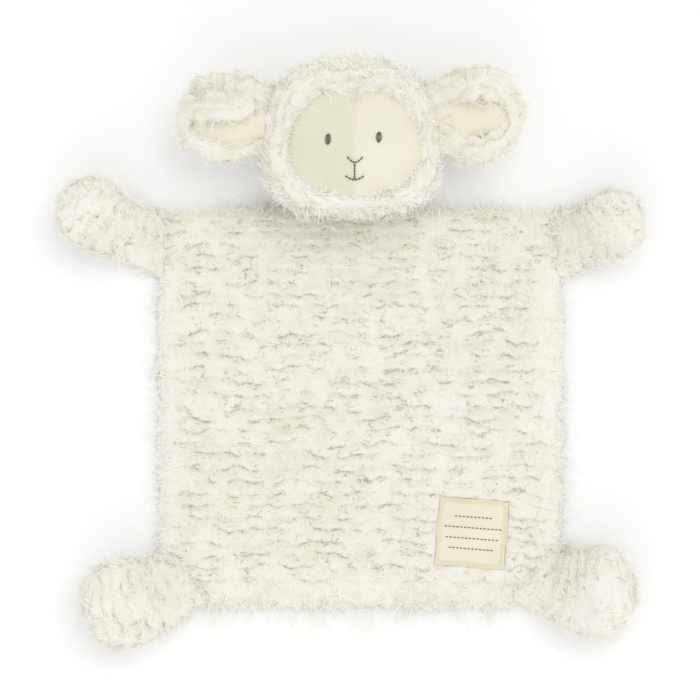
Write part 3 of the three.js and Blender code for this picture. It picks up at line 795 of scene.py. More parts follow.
# %% Places that the blanket needs too
HEAD_X, HEAD_Y = -5.0, 158.0
SEAM_Z = 2.15  # the height of the seams round the blanket
SEAM_X, SEAM_Y = 117.5, 114.5
HAND_SEAM, FOOT_CUT = 36.0, 26.2  # a hand's seam along the edge, and how far a foot's cuts off the corner
LIMBS = {  # millimetres, and degrees in the picture's plane
    "arm_left": {"reach": 45.1, "swing": 157.9, "length": 19.0, "width": 19.5, "top": 35.0, "normal": 180.0},
    "arm_right": {"reach": 33.0, "swing": 17.4, "length": 18.5, "width": 19.0, "top": 34.0, "normal": 0.0},
    "leg_left": {"reach": 39.9, "swing": 204.6, "length": 22.5, "width": 26.5, "top": 35.0, "normal": 225.0},
    "leg_right": {"reach": 37.0, "swing": 344.2, "length": 22.0, "width": 26.0, "top": 35.0, "normal": 315.0},
}


def heading(degrees):
    return np.array([math.cos(math.radians(degrees)), math.sin(math.radians(degrees))])


def seam_middle(name):
    side = -1 if name.endswith("left") else 1
    if name.startswith("arm"):
        return np.array([side * SEAM_X, SEAM_Y - HAND_SEAM / 2])
    return np.array([side * (SEAM_X - FOOT_CUT / 2), FOOT_CUT / 2 - SEAM_Y])


def root_half_of(name):
    """Half the length of the seam that a limb is sewn into."""
    return HAND_SEAM / 2 if name.startswith("arm") else FOOT_CUT * math.sqrt(2) / 2


# %% [markdown]
# Where a hand, a foot or the neck is sewn in, two pieces of plush meet and hold each other's pile up.
# Everywhere else the edge is free, so the pile rolls down to it and stands out over it. One function gives
# this surface for any part of the plan, so that the panel and the threads on it have the same shape.

# %% Raised pile
SEWN_LIFT = 3.8  # how high the plush stays at a seam that another plush piece is sewn into
SEWN_MARGIN, SEWN_FADE = 1.0, 5.0  # how far past the ends of a limb's seam, and how softly that ends
NECK_SEWN, NECK_FADE = 36.0, 8.0
BULGE, BULGE_LOW = 4.0, 9.0  # how far the pile stands out over the free edges, and over the lower one
BULGE_DEPTH, BULGE_LOW_ZONE = 7.0, 20.0  # how far in from the edge and from the lower edge that begins
BULGE_UNEVEN, BULGE_WAVE = 0.25, 12.0  # how unevenly it stands out, and over what length
NEAR_SHARE, FAR_SHARE = 0.68, 0.32  # of its height, gained over the bulge's depth and over the whole roll
EDGE_DROP, EDGE_PAINTED_LIGHT = 1.0, 9.0  # how far it hangs down at a free edge, and how far in from it the colour is painted lighter
TUFTS_SUNK, TUFTS_IN = 1.3, 16.0  # how far its tufts are sunk in, and how far in they reach their height
SWELL, SWELL_SIZE = 0.7, 60.0  # how unevenly the whole panel swells, and over what length
PATCH_MARGIN, PATCH_PRESS = 3.0, 0.75  # how softly the patch presses the pile, and how much of its tufts
PATCH_CLEAR, FAR_ABOVE = 0.5, 99.0  # the pile stays this far under the patch, and is free elsewhere


def near_sewn(x, y):
    """1 where a hand, a foot or the neck is sewn to the edge, and 0 away from it."""
    found = np.zeros_like(x)
    for limb in LIMBS:
        seam, normal = seam_middle(limb), heading(LIMBS[limb]["normal"])
        aside = np.abs((x - seam[0]) * -normal[1] + (y - seam[1]) * normal[0])
        found = np.maximum(found, ease(clamp((root_half_of(limb) + SEWN_MARGIN - aside) / SEWN_FADE)))
    neck = ease(clamp((NECK_SEWN - np.abs(x - HEAD_X)) / NECK_FADE)) * (y > 0)
    return np.maximum(found, neck)


def blanket_surface(x, y):
    """The plush over the plan: points, lean and marks, how far inside the edge it is and how pressed."""
    inside = inside_edge(x, y)
    rise, near_rise = clamp(inside / EDGE_ROLL), clamp(inside / BULGE_DEPTH)
    sewn, pressed = near_sewn(x, y), on_patch(x, y, PATCH_MARGIN)

    # The pile's ground rolls down to a free edge, and is held up where something is sewn in
    rolled = NEAR_SHARE * np.sqrt(near_rise * (2 - near_rise)) + FAR_SHARE * rise * (2 - rise)
    held = sewn * fading(inside, EDGE_ROLL)
    ground = np.maximum((PILE_RISE - PILE_BASE) * rolled, SEWN_LIFT * held)
    ground = ground + SWELL * lumps(xyz(x, y, 0.0), SWELL_SIZE, 5) * rise

    # Its tufts are lower near a free edge, and pressed under the patch
    height, lean, marks = tufts(x, -y, 7)
    strength = np.maximum(clamp(0.1 + inside / TUFTS_IN), held)
    z = PILE_Z + ground + (height - TUFTS_SUNK) * np.minimum(strength, 1 - PATCH_PRESS * pressed)
    z = np.minimum(z, mix(FAR_ABOVE, PATCH_Z - PATCH_CLEAR, pressed**0.2))
    z = np.maximum(z, PILE_Z) - EDGE_DROP * (1 - near_rise) ** 3 * (1 - sewn)

    # It stands out over a free edge, and furthest over the lower one
    lowest = fading(y + HALF_Y, BULGE_LOW_ZONE) ** 2
    bulge = mix(BULGE, BULGE_LOW, lowest) * (1 - near_rise) ** 1.5 * (1 - sewn)
    bulge = bulge * (1 + BULGE_UNEVEN * waves(x, y, BULGE_WAVE, np.random.default_rng(3)))
    outward = unit(np.stack([signed_power(x / HALF_X, 8), signed_power(y / HALF_Y, 8)], -1) + 1e-9)
    points = xyz(x + outward[..., 0] * bulge, y + outward[..., 1] * bulge, z)

    # No painted parting shows near a free edge or under the patch, and painted light lifts the free edge
    marks["opened"] = marks["opened"] * past(inside + 15 * sewn, 5, 10) ** 0.5 * (1 - pressed)
    marks["tone"] = marks["tone"] + 1.2 * fading(inside, EDGE_PAINTED_LIGHT) * (1 - sewn)
    return points, lean, marks, inside, pressed


# %% The plush panel
def make_blanket_front():
    x, y = blanket_plan(-HALF_Y, HALF_Y)
    points, _, marks, _, _ = blanket_surface(x, y)
    rim, start = rim_of(*x.shape), x.size
    base = xyz(x.ravel()[rim], y.ravel()[rim], PILE_Z)
    below = range(start, start + len(rim))
    faces = grid_faces(*x.shape)
    faces += list(zip(rim[1:] + rim[:1], rim, below, [*below[1:], start]))
    faces.append(tuple(below))
    points = np.concatenate([points.reshape(-1, 3), base])
    return new_object("blanket_front", points, faces, cloths["pile ground"], marks)


blanket_front = make_blanket_front()

# %% [markdown]
# The threads are grown in three bands, so that no piece gets too many triangles. Over the free edges grow
# more and longer ones, most of all over the lower edge, and a light fuzz that lets the outline fade.

# %% Threads of the blanket
BANDS = 3
EDGE_WIDTH, FRINGE_WIDTH = 13.0, 7.0  # how far in the threads turn outwards, and how far in the fringe grows
LOW_FRINGE = 14.0  # how far over the lower edge its threads are longer
FRINGE_FUZZ = {"Length": 0.010, "Lift": 0.15, "Thickness": 0.00035, "Density": 14.0}


def blanket_skin(low, high):
    """The skin of one band, and how thickly the fringe grows on it."""
    x, y = blanket_plan(low, high)
    points, lean, marks, inside, pressed = blanket_surface(x, y)
    edge, sewn = fading(inside, EDGE_WIDTH), near_sewn(x, y)
    outward = xyz(signed_power(x / HALF_X, 6), signed_power(y / HALF_Y, 6), 0.0)
    flat = np.broadcast_to([0.0, 0.0, 1.0], points.shape)
    down = turned(np.broadcast_to([0.0, -1.0, 0.0], points.shape), flat, lean)
    growth = mix(0.1, 1, marks["crown"]) * (1 - clamp(pressed * 1.6)) * (1 + 0.3 * edge)
    skin = {
        "points": points,
        "up": unit(flat + 0.3 * edge[..., None] * outward),
        "comb": unit(mix(down, unit(outward), (edge**1.2)[..., None])),
        "growth": growth * (1 + 1.2 * edge * sewn),
        "reach": 0.9 + 0.3 * edge * (1 + sewn) + 0.7 * fading(y + HALF_Y, LOW_FRINGE),
        # Painted light lifts the threads by a free edge too.
        "tone": marks["tone"] + 0.8 * fading(inside, EDGE_PAINTED_LIGHT) * (1 - sewn),
    }
    return skin, fading(inside, FRINGE_WIDTH) * (1 - 0.6 * sewn)


band_edges = np.linspace(-HALF_Y, HALF_Y, BANDS + 1)
blanket_threads = []
for band in range(BANDS):
    skin, fringe = blanket_skin(band_edges[band], band_edges[band + 1])
    kinds = {
        "nap": {},
        "long": {"growth": skin["growth"] + 1.2 * fringe},
        "fuzz": {"growth": fringe, **FRINGE_FUZZ},
    }
    blanket_threads += grow(f"blanket_band_{band + 1}", 100 + 10 * band, skin, kinds)

# %% [markdown]
# The ply underneath isn't seen in the picture. It is taken as a smooth cream cloth, cut to the same shape
# and drawn up a little where the edge is sewn. From above, one flat face would do. A thin closed sheet that
# sags a little shows a real edge from the side too.

# %% The smooth ply underneath
BACK_TOP, BACK_LOW = 2.0, 0.25
HEM_WIDTH, HEM_RISE = 2.0, 0.8
SAG, SAG_SIZE = 0.2, 40.0  # how unevenly it lies on the floor, and over what length


def make_blanket_back():
    x, y = blanket_plan(-HALF_Y, HALF_Y, 115, 119)
    inside = inside_edge(x, y)
    soft = lumps(xyz(x, y, 0.0), SAG_SIZE, 3)
    low = BACK_LOW + SAG * soft * clamp(inside / 10) + HEM_RISE * fading(inside, HEM_WIDTH) ** 2
    return closed_between("blanket_back", xyz(x, y, BACK_TOP), xyz(x, y, low), cloths["underside"])


blanket_back = make_blanket_back()

# %% [markdown]
# ## The head
# The head is sewn from two shaggy sides and two face panels and stuffed. The same formula as in the solids
# gives its surface, so the two fit each other everywhere: along runs from the muzzle to the back of the
# head, and around is the angle in the picture's plane.

# %% Head shape
HEAD_HALF = np.array([50.0, 43.0, 30.0])
HEAD_CENTRE = np.array([HEAD_X, HEAD_Y, HEAD_HALF[2]])
BACK_FLAT = 0.5  # its back would come this far below the floor, which presses it flat
DEPTH_POWER, PLAN_POWER = 2.2, 3.0  # 2 makes an ellipse, and more makes it squarer
MUZZLE_X, MUZZLE_Y = 3.0, -18.0  # how far its front is turned aside and down
MUZZLE_RISE, MUZZLE_SHARE = 3.0, 0.35
CHEEK_SHARE = 0.07  # how much wider it is below
FACE_SHARE = 0.78  # how much of the head's outline the face fills
FACE_RISE = 0.08  # the pile hides less of the brow than of the chin, so the face's edge lies a little higher
CHIN_RISE = 0.15  # and it grows up over the chin
NOTCH_SHARE, NOTCH_ANGLE = 0.17, 16.0  # the forelock's dip in the face's upper edge


def head_plan(around):
    return [signed_power(v, 2 / PLAN_POWER) for v in (np.cos(around), np.sin(around))]


def head_point(along, around, inset=0.0):
    """Points of the head, or of a smaller head that is inset under it."""
    out, deep = [signed_power(v, 2 / DEPTH_POWER) for v in (np.sin(np.pi * along), np.cos(np.pi * along))]
    plan_x, plan_y = head_plan(around)
    front = np.maximum(0, deep) ** 2
    depth = np.where(deep > 0, HEAD_HALF[2], HEAD_HALF[2] + BACK_FLAT)
    muzzle = np.where(deep > 0, MUZZLE_RISE * np.exp(-((out / MUZZLE_SHARE) ** 2)), 0.0)
    x = HEAD_X + MUZZLE_X * front
    x = x + out * (HEAD_HALF[0] - inset) * plan_x * (1 - CHEEK_SHARE * out * plan_y)
    y = HEAD_Y + MUZZLE_Y * front + out * (HEAD_HALF[1] - inset) * plan_y
    return xyz(x, y, np.maximum(inset, HEAD_HALF[2] + deep * (depth - inset) + muzzle))


def face_edge(around):
    """Where the face's edge lies on the head, as a value of along."""
    off_top = np.degrees(np.abs((around - math.pi / 2 + math.pi) % math.tau - math.pi))
    notch = NOTCH_SHARE * fading(off_top, NOTCH_ANGLE)
    rise = 1 + FACE_RISE * np.sin(around) - CHIN_RISE * clamp(-np.sin(around)) ** 2
    out = FACE_SHARE * (1 - notch) * rise / np.hypot(*head_plan(around))
    return np.arcsin(np.clip(out, 0, 1) ** (DEPTH_POWER / 2)) / math.pi


# %% [markdown]
# The face is short velour in two halves, with a shallow seam down the middle. Its edge dips under the
# pile round it. Each half is a closed piece about as thick as the padded cloth, and the seam's place is
# kept for its material, which paints a highlight along it.

# %% Face panels
FACE_COLUMNS, FACE_ROWS = 121, 44
COVER_DEPTH = 5.0  # how thick the covers of the head are, with their padding
SEAM_HALF, SEAM_DEPTH, SEAM_GAP = 0.9, 0.1, 0.01
EDGE_DIP, EDGE_DIP_SHARE = 0.5, 0.1
DIMPLES, DIMPLE_SIZE = 0.25, 22.0  # how unevenly it is stuffed, and over what length


def make_face(side, name, cloth):
    """One half of the face, whose columns run from the middle seam round its edge to the seam again."""
    turn = np.linspace(math.pi / 2, 3 * math.pi / 2, FACE_COLUMNS)
    turn = turn if side < 0 else math.pi - turn
    share, around = np.meshgrid(np.linspace(0, 1, FACE_ROWS), turn, indexing="ij")
    outer, inner = [head_point(share * face_edge(around), around, inset) for inset in (0.0, COVER_DEPTH)]
    edge_in = ease(past(share, 1 - EDGE_DIP_SHARE, EDGE_DIP_SHARE))
    outer[..., 2] -= EDGE_DIP * edge_in
    from_seam = np.abs(outer[..., 0] - (HEAD_X + MUZZLE_X * clamp(1 - share)))
    seam = np.exp(-((from_seam / SEAM_HALF) ** 2))
    outer[..., 2] -= SEAM_DEPTH * seam
    outer[..., 2] += DIMPLES * lumps(outer, DIMPLE_SIZE, 17) * (1 - edge_in)
    for points in (outer, inner):
        points[..., 0] += side * SEAM_GAP
    # seam lets the material paint a highlight along the seam.
    return closed_between(name, outer, inner, cloth, {"seam": seam})


# The left half is painted darker than the right: painted shade on the side away from the window light.
face_left = make_face(-1, "face_panel_left", cloths["velour in painted shade"])
face_right = make_face(1, "face_panel_right", cloths["velour of the right half"])

# %% [markdown]
# The woolly part is one bowl of plush that runs from the face's edge to the back of the head. Its tufts
# go round the face in rings, are thickest near it and flat behind, where the head lies on them.

# %% Shaggy sides of the head
WOOL_COLUMNS, WOOL_ROWS = 300, (64, 24)  # columns, and rows on the side and at the back
WOOL_SIDE, WOOL_REAR = (0.0, 0.62), (0.64, 1.0)  # the shares of the way to the back that these cover
WOOL_ROUND, WOOL_BACK = 48.0, 92.0  # cloth coordinates: millimetres to a radian, and from face to back
FACE_GAP = 0.002
WOOL_LIFT, SIDE_THIN = 1.9, 2.0  # how thick the pile is, and how much thinner at the head's right side
WOOL_FALL = 0.95  # by this share of the way to the back the pile has thinned out
WOOL_SWELL, WOOL_SWELL_SIZE = 1.3, 17.0
RESTING, RESTING_LOW = 1.6, 0.3


def resting(height):
    """How low the cloth of a stuffed piece comes where its tufts are pressed on what it lies on."""
    return np.maximum(RESTING - 0.5 * height, RESTING_LOW)


def head_cloth(rows, inset=0.0):
    """The cloth of the head's sides, from the face's edge at share 0 to the back of the head at 1."""
    turn = np.linspace(0, math.tau, WOOL_COLUMNS, endpoint=False)
    share, around = np.meshgrid(rows, turn, indexing="ij")
    return share, around, head_point(mix(face_edge(around) + FACE_GAP, 1.0, share), around, inset)


wool_rows = [np.linspace(*span, rows) for span, rows in zip((WOOL_SIDE, WOOL_REAR), WOOL_ROWS)]
wool_share, wool_around, wool_base = head_cloth(np.concatenate(wool_rows))
wool_up = unit((wool_base - HEAD_CENTRE) * (1 / HEAD_HALF))
cloth_place = (wool_around * WOOL_ROUND, wool_share * WOOL_BACK + 3.0)
wool_height, wool_lean, wool_marks = tufts(*cloth_place, 23, height=1.6, lean=0.9)

# The pile starts from nothing at the face's edge, is soon thick, and thins out towards the back
away = fading(wool_share, WOOL_FALL)
from_face = ease(clamp(wool_share / 0.1))
wool_lift = WOOL_LIFT * from_face * away**0.2 + (wool_height - 1.0) * away**0.3 * clamp(wool_share / 0.05)
wool_lift += WOOL_SWELL * lumps(wool_base, WOOL_SWELL_SIZE, 29) * away * clamp(wool_share / 0.03)
wool_lift -= SIDE_THIN * clamp(np.cos(wool_around) * 1.5 - 0.2) * away * from_face
wool_points = wool_base + wool_up * wool_lift[..., None]
wool_points[..., 2] = np.maximum(wool_points[..., 2], resting(wool_height))

# The pile below the face hangs over its own partings, and painted light lifts its colour there against the
# chin's shade
chin = clamp(-np.sin(wool_around) * 1.4 - 0.2)
painted_light_below_face = chin * fading(wool_share, 0.35)
wool_marks["opened"] = wool_marks["opened"] * 0.5 * away**0.5 * (1 - painted_light_below_face)
wool_marks["tone"] = wool_marks["tone"] + 0.3 + 0.8 * painted_light_below_face
wool_inner = head_cloth(np.linspace(0, 1, 14), COVER_DEPTH)[2]
wool_cloth = cloths["pile ground"]
head_wool = closed_between("head_wool", wool_points, wool_inner, wool_cloth, wool_marks, around=True)

# %% [markdown]
# The head's threads lie back from the face. A second set stands thickly along the face's edge and falls
# forwards over it, longest under the chin, so that the edge of the velour is never a clean line.

# %% Threads of the head
RIM_SHARE = 0.07  # how far from the face's edge the second set grows
FACE_RIM = {"Density": 90.0, "Length": 0.0036, "Thickness": 0.0005, "Lift": 0.25, "Spread": 0.9, "Curl": 1.0}

_, wool_along, _ = slopes(wool_base, around=True)
near_face = fading(wool_share, RIM_SHARE) ** 0.7
wool_skin = {
    "points": wool_points,
    "up": wool_up,
    "comb": unit(mix(turned(wool_along, wool_up, wool_lean), -wool_along, near_face[..., None])),
    "growth": mix(0.4, 1, wool_marks["crown"]) * clamp((1.02 - wool_share) / 0.08),
    "reach": 1.0 + 0.2 * fading(wool_share, 0.3) + 0.4 * chin,
    "tone": wool_marks["tone"],
}
kinds = {
    "nap": {"Lift": 0.16, "Density": 32.0},
    "long": {"Density": 3.0, "Lift": 0.4},
    "fuzz": {"growth": fading(np.abs(wool_share - 0.3), 0.3), "Density": 30.0, "Thickness": 0.0004},
}
head_threads = grow("head", 31, wool_skin, kinds, around=True)
wool_skin["reach"] = 1.0 + 1.1 * chin
head_threads += grow("face_rim", 37, wool_skin, {"nap": {"growth": near_face, **FACE_RIM}}, around=True)

# %% [markdown]
# ## Filling
# Under each woolly cover lies loose fibre. It hardly shows, but it is there when a piece is looked at on
# its own. Single fibres would cost many triangles that nobody sees, so a smaller copy of the cover with
# small dents stands for them.

# %% Head filling
FILLING_GAP, FILLING_DENTS, DENT_SIZE = 0.6, 0.3, 9.0


def make_head_filling():
    turn = np.linspace(0, math.tau, 72, endpoint=False)
    along, around = np.meshgrid(np.linspace(0, 1, 48), turn, indexing="ij")
    points = head_point(along, around, COVER_DEPTH + FILLING_GAP)
    dents = FILLING_DENTS * np.abs(lumps(points, DENT_SIZE, 3))
    points = points - unit(points - HEAD_CENTRE) * dents[..., None]
    return new_object("head_filling", points, grid_faces(*points.shape[:2], around=True), cloths["filling"])


head_filling = make_head_filling()

# %% [markdown]
# ## Ears
# Each ear is a woolly outer cloth lined with velour and curled forwards. The solids give the middle layer:
# the wool lies outside it and the lining, which is a little padded, inside it. A formula bends both, so
# they stay one cloth apart however the ear is curled, and both run on a little way into the head's pile.

# %% Ear shape
EAR_Z, EAR_ROOT_HALF = 27.0, 15.0
EAR_ROLL_DEPTH, EAR_ROOT_DEPTH = 9.0, 2.0
ROOT_CURL = math.radians(45)
CURL_SHARE, PEAK_SHARE = 0.45, 0.5  # where along an ear it is fully curled, and where it is widest
ROOT_REACH = 0.1  # how far its cloth runs on into the head's pile, as a share of its length
ROOT_CLIMB, CLIMB_SHARE = 7.0, 0.3  # how far it climbs the head's side there, and over what share
EARS = {  # millimetres, and degrees for turn and for curl, at its upper and its lower side
    "left": {"side": -1, "above": 10.0, "length": 49.0, "half": 22.0, "turn": 180.0, "curl": (150.0, 75.0)},
    "right": {"side": 1, "above": 11.0, "length": 46.0, "half": 23.5, "turn": 2.0, "curl": (112.0, 95.0)},
}


def head_side_x(side, y):
    plan_y = (y - HEAD_Y) / HEAD_HALF[1]
    plan_x = (1 - np.abs(np.clip(plan_y, -1, 1)) ** PLAN_POWER) ** (1 / PLAN_POWER)
    return HEAD_X + side * HEAD_HALF[0] * plan_x * (1 - CHEEK_SHARE * plan_y)


def ear_point(ear, along, width, lift):
    """A point of an ear. along runs from its root to its tip, width from -1 to 1, lift towards the lining."""
    beyond = past(along, PEAK_SHARE, 1 - PEAK_SHARE)
    cap = np.sqrt(np.maximum(1 - beyond**2, 1e-6))
    half = mix(EAR_ROOT_HALF, ear["half"], np.sin(math.pi / 2 * clamp(along / PEAK_SHARE))) * cap
    curled = ease(clamp(along / CURL_SHARE))
    curl = mix(ROOT_CURL, np.radians(np.where(width * ear["side"] > 0, *ear["curl"])), curled)
    wide = half / np.sin(np.minimum(curl, math.pi / 2))
    deep = mix(EAR_ROOT_DEPTH, EAR_ROLL_DEPTH, curled) * cap
    turn = curl * width
    normal = unit(xyz(0.0, -np.sin(turn) * deep, np.cos(turn) * wide))
    middle = xyz(along * ear["length"], wide * np.sin(turn), deep * (1 - np.cos(turn)))
    point = middle + normal * np.asarray(lift)[..., None]
    angle = math.radians(ear["turn"])
    c, s = math.cos(angle), math.sin(angle)
    root_y = HEAD_Y + ear["above"]
    nearest = head_side_x(ear["side"], root_y - EAR_ROOT_HALF)
    x = point[..., 0] * c - point[..., 1] * s + nearest + ear["side"] * 0.3
    y = point[..., 0] * s + point[..., 1] * c + root_y
    x = x + (head_side_x(ear["side"], y) - nearest) * (1 - curled)
    climb = ROOT_CLIMB * (1 - ease(clamp((along + ROOT_REACH) / CLIMB_SHARE)))
    return xyz(x, y, point[..., 2] + EAR_Z + climb)


# %% [markdown]
# The pile is longest at the rim of an ear and falls over onto the lining, so that only a window of the
# smooth cloth shows. This roll of pile follows the ear's free edge from one side of the root over the tip
# to the other side. It is widest at the upper side of the root, where the ear is tucked.

# %% The way round an ear
RIM_STEPS, RIM_SIDES = 220, 44
RIM_START = -0.17  # where along the ear it starts and ends, which is inside the head's pile
TIP_WAY = 0.25  # it goes round the tip this far to either side of the middle of its way
RIM_PLACES = (0.08, 0.22, 0.5, 0.9)  # at the root's top, the top edge, the tip and the bottom edge
RIM_HALF = {"left": (10.6, 8.0, 5.8, 5.2), "right": (10.2, 7.6, 5.6, 6.4)}  # half its width there
RIM_IN = {"left": (9.6, 5.4, 2.6, 2.2), "right": (9.6, 4.6, 2.2, 2.6)}  # how far in from the edge it lies
RIM_HEIGHT, RIM_LEAST = 3.0, 0.3
RIM_ENDS = (0.012, 0.05)  # the shares of its way over which it tapers at its start and at its end
RIM_UNEVEN, RIM_UNEVEN_SIZES = 0.12, (37.0, 17.0)  # how unevenly wide it is, and over what lengths
RIM_LENGTH = 150.0  # along the roll, in cloth coordinates
SMOOTHED = 25  # its path is smoothed over this many steps
UP = np.array([0.0, 0.0, 1.0])


def rim_path(ear):
    """The way round an ear's free edge: its share, its points and the level direction inwards."""
    way = np.linspace(0, 1, RIM_STEPS)
    from_tip = np.abs(way - 0.5)
    at_tip = np.sin(math.pi / 2 * fading(from_tip, TIP_WAY))
    beside = mix(RIM_START, 0.5, fading(from_tip - TIP_WAY, TIP_WAY))
    along = np.where(at_tip > 0, mix(0.5, 1.0, at_tip), beside)
    path = ear_point(ear, np.minimum(along, 0.9995), np.where(way < 0.5, 1.0, -1.0) * ear["side"], 0 * along)
    padded = np.pad(path[..., 2], SMOOTHED // 2, mode="edge")
    path[..., 2] = np.convolve(padded, np.ones(SMOOTHED) / SMOOTHED, mode="valid")
    tangent = np.gradient(path, axis=0) * [1, 1, 0]
    inward = unit(xyz(-tangent[:, 1], tangent[:, 0], 0.0))
    middle = ear_point(ear, np.array(0.5), np.array(0.0), np.array(0.0))
    inward *= np.sign(np.sum(inward * (middle - path) * [1, 1, 0], axis=-1, keepdims=True))
    return way, path, inward


# %% Rim of an ear
def make_ear_rim(name, ear, seed):
    way, path, inward = rim_path(ear)
    taper = clamp(np.minimum(way / RIM_ENDS[0], (1 - way) / RIM_ENDS[1])) ** 0.6
    uneven = 1 + RIM_UNEVEN * wander(way * RIM_LENGTH, RIM_UNEVEN_SIZES, np.random.default_rng(seed))
    half = np.interp(way, RIM_PLACES, RIM_HALF[name]) * taper * uneven + RIM_LEAST
    offset = np.interp(way, RIM_PLACES, RIM_IN[name]) * taper
    tall = RIM_HEIGHT * taper + RIM_LEAST
    centre = path + inward * offset[:, None] + UP * (0.3 * tall)[:, None]

    # Round the path: half and tall are the half axes of its section
    half, tall, taper, inward = half[:, None], tall[:, None], taper[:, None], inward[:, None]
    turn = np.linspace(0, math.tau, RIM_SIDES, endpoint=False)[None, :]
    across, rise = np.cos(turn), np.sin(turn)
    base = centre[:, None] + inward * (across * half)[..., None]
    base = base + UP * (rise * tall)[..., None]
    up = unit(inward * (across / half)[..., None] + UP * (rise / tall)[..., None])
    s = way[:, None] * RIM_LENGTH + 0 * turn
    height, lean, marks = tufts(s, across * half + 20.0, seed, lean=0.9)
    lift = (height - 1.0) + 1.1 * lumps(base, 13.0, seed)
    points = base + up * (lift * taper)[..., None]
    for end in (0, -1):
        points[end] = points[end].mean(axis=0)
    marks["opened"] = 0.28 * marks["opened"] * (rise > -0.2)
    faces = grid_faces(RIM_STEPS, RIM_SIDES, around=True)
    rim = new_object(f"ear_{name}_rim", points, faces, cloths["pile ground"], marks)

    # Its threads fall from its crest to both sides
    level = inward * across[..., None]
    skin = {
        "points": points,
        "up": up,
        "comb": unit(turned(unit(np.cross(np.cross(up, level + 1e-3), up)), up, lean)),
        "growth": mix(0.4, 1, marks["crown"]) * clamp(rise + 0.4) * taper,
        "reach": 1.0,
        "tone": marks["tone"],
    }
    sides = fading(np.abs(rise), 0.8) * taper
    kinds = {
        "nap": {"Lift": 0.2},
        "long": {"Density": 4.0, "Lift": 0.4},
        "fuzz": {"growth": sides, "Density": 30.0},
    }
    return [rim, *grow(rim.name, seed, skin, kinds, around=True)]


# %% [markdown]
# An ear is made of the woolly cloth with its tufts, the padded lining in it, and the roll along its rim. A
# loop makes both ears, because they differ only in their sizes.

# %% Ear pieces
EAR_ROWS, EAR_COLUMNS = 84, 96
WOOL_DEPTH = 3.0
EAR_ENDS = (0.12, 0.1)  # the shares of its length over which the wool thins to its root and to its tip
EAR_ROUND = 34.0  # from its middle to its rim, in cloth coordinates
LINING_LIFT, LINING_GAP = 2.0, 0.15
LINING_WIDTH, LINING_ROOT, LINING_TIP = 0.93, 0.01, 0.955  # shares of the ear that the lining covers
EAR_PADDING = {"left": 10.0, "right": 5.0}


def make_ear(name, ear, seed):
    rows, columns = np.linspace(0, 1, EAR_ROWS), np.linspace(-1, 1, EAR_COLUMNS)
    share, width = np.meshgrid(rows, columns, indexing="ij")
    along = mix(-ROOT_REACH, 1.0, share)
    ends = np.minimum(1, np.minimum(share / EAR_ENDS[0], (1 - share) / EAR_ENDS[1]))
    rim = past(np.abs(width), 0.8, 0.2)

    # The wool is thinner at its two ends and along its rim
    base = ear_point(ear, along, width, -WOOL_DEPTH * ends * (1 - 0.5 * rim))
    inner = ear_point(ear, along, width, 0 * along - 0.1)
    across, out, _ = slopes(base)
    up = unit(base - inner + 1e-6)
    up[[0, -1]] = up[[1, -2]]
    height, lean, marks = tufts(width * EAR_ROUND, along * ear["length"], seed, lean=0.8)
    points = base + up * (height * np.sqrt(clamp(ends)) * (1 - 0.4 * rim))[..., None]
    marks["opened"] = 0.3 * marks["opened"]
    wool = closed_between(f"ear_{name}_outer", points, inner, cloths["pile ground"], marks)

    # The lining is a little smaller than the ear, and padded most in the middle
    padding = EAR_PADDING[name] * (1 - width**2) * np.sin(math.pi * mix(0.12, 1, share)) ** 0.45
    lift = (LINING_LIFT + padding) * ends * (1 - 0.5 * width**6) + LINING_GAP
    root = LINING_ROOT - ROOT_REACH * clamp(1 - 2 * width * ear["side"])
    place = (ear, mix(root, LINING_TIP, share), width * LINING_WIDTH)
    sides = [ear_point(*place, height) for height in (lift, LINING_GAP + 0 * along)]
    lining = closed_between(f"ear_{name}_inner", *sides, cloths["ear lining"])

    # The threads lie towards the tip and turn outwards near the rim, where more of them grow
    edge = past(np.abs(width), 0.55, 0.45) ** 1.5
    tip = past(along, 0.6, 0.4)
    rooted = clamp(share / 0.06)
    outwards = across * np.sign(width)[..., None]
    comb = turned(out, up, lean) * (1 - 0.7 * edge)[..., None] + outwards * (edge * 1.2)[..., None]
    skin = {
        "points": points,
        "up": up,
        "comb": unit(comb),
        "growth": mix(0.4, 1, marks["crown"]) * (1 + 0.9 * edge + 0.5 * tip) * rooted,
        "reach": 1.0 + 0.15 * tip,
        "tone": marks["tone"],
    }
    fringe = clamp(edge + tip) * rooted
    kinds = {"nap": {"Lift": 0.3}, "long": {"Density": 3.0, "Lift": 0.4}, "fuzz": {"growth": fringe}}
    return wool, lining, grow(f"ear_{name}", seed, skin, kinds) + make_ear_rim(name, ear, seed + 5)


ear_pieces = {name: make_ear(name, ear, 41 + 10 * k) for k, (name, ear) in enumerate(EARS.items())}

# %% [markdown]
# ## Hands and feet
# Each is a stuffed bag of plush on a short sleeve that is sewn into the blanket's seam. A curve leads
# from the seam to the pad, the cross-section swells from flat to round, and the pad ends in a dome. One
# function makes all four, because they differ only in their sizes.

# %% Limb shape
PAD_SEAM_Z = 16.0  # the side seam's height at the pad
LIMB_FLAT, LIMB_POWER = 0.35, 2.2
WRIST_SHARE, BEND_SHARE = 0.12, 0.45  # how much narrower the sleeve is, and where its curve bends


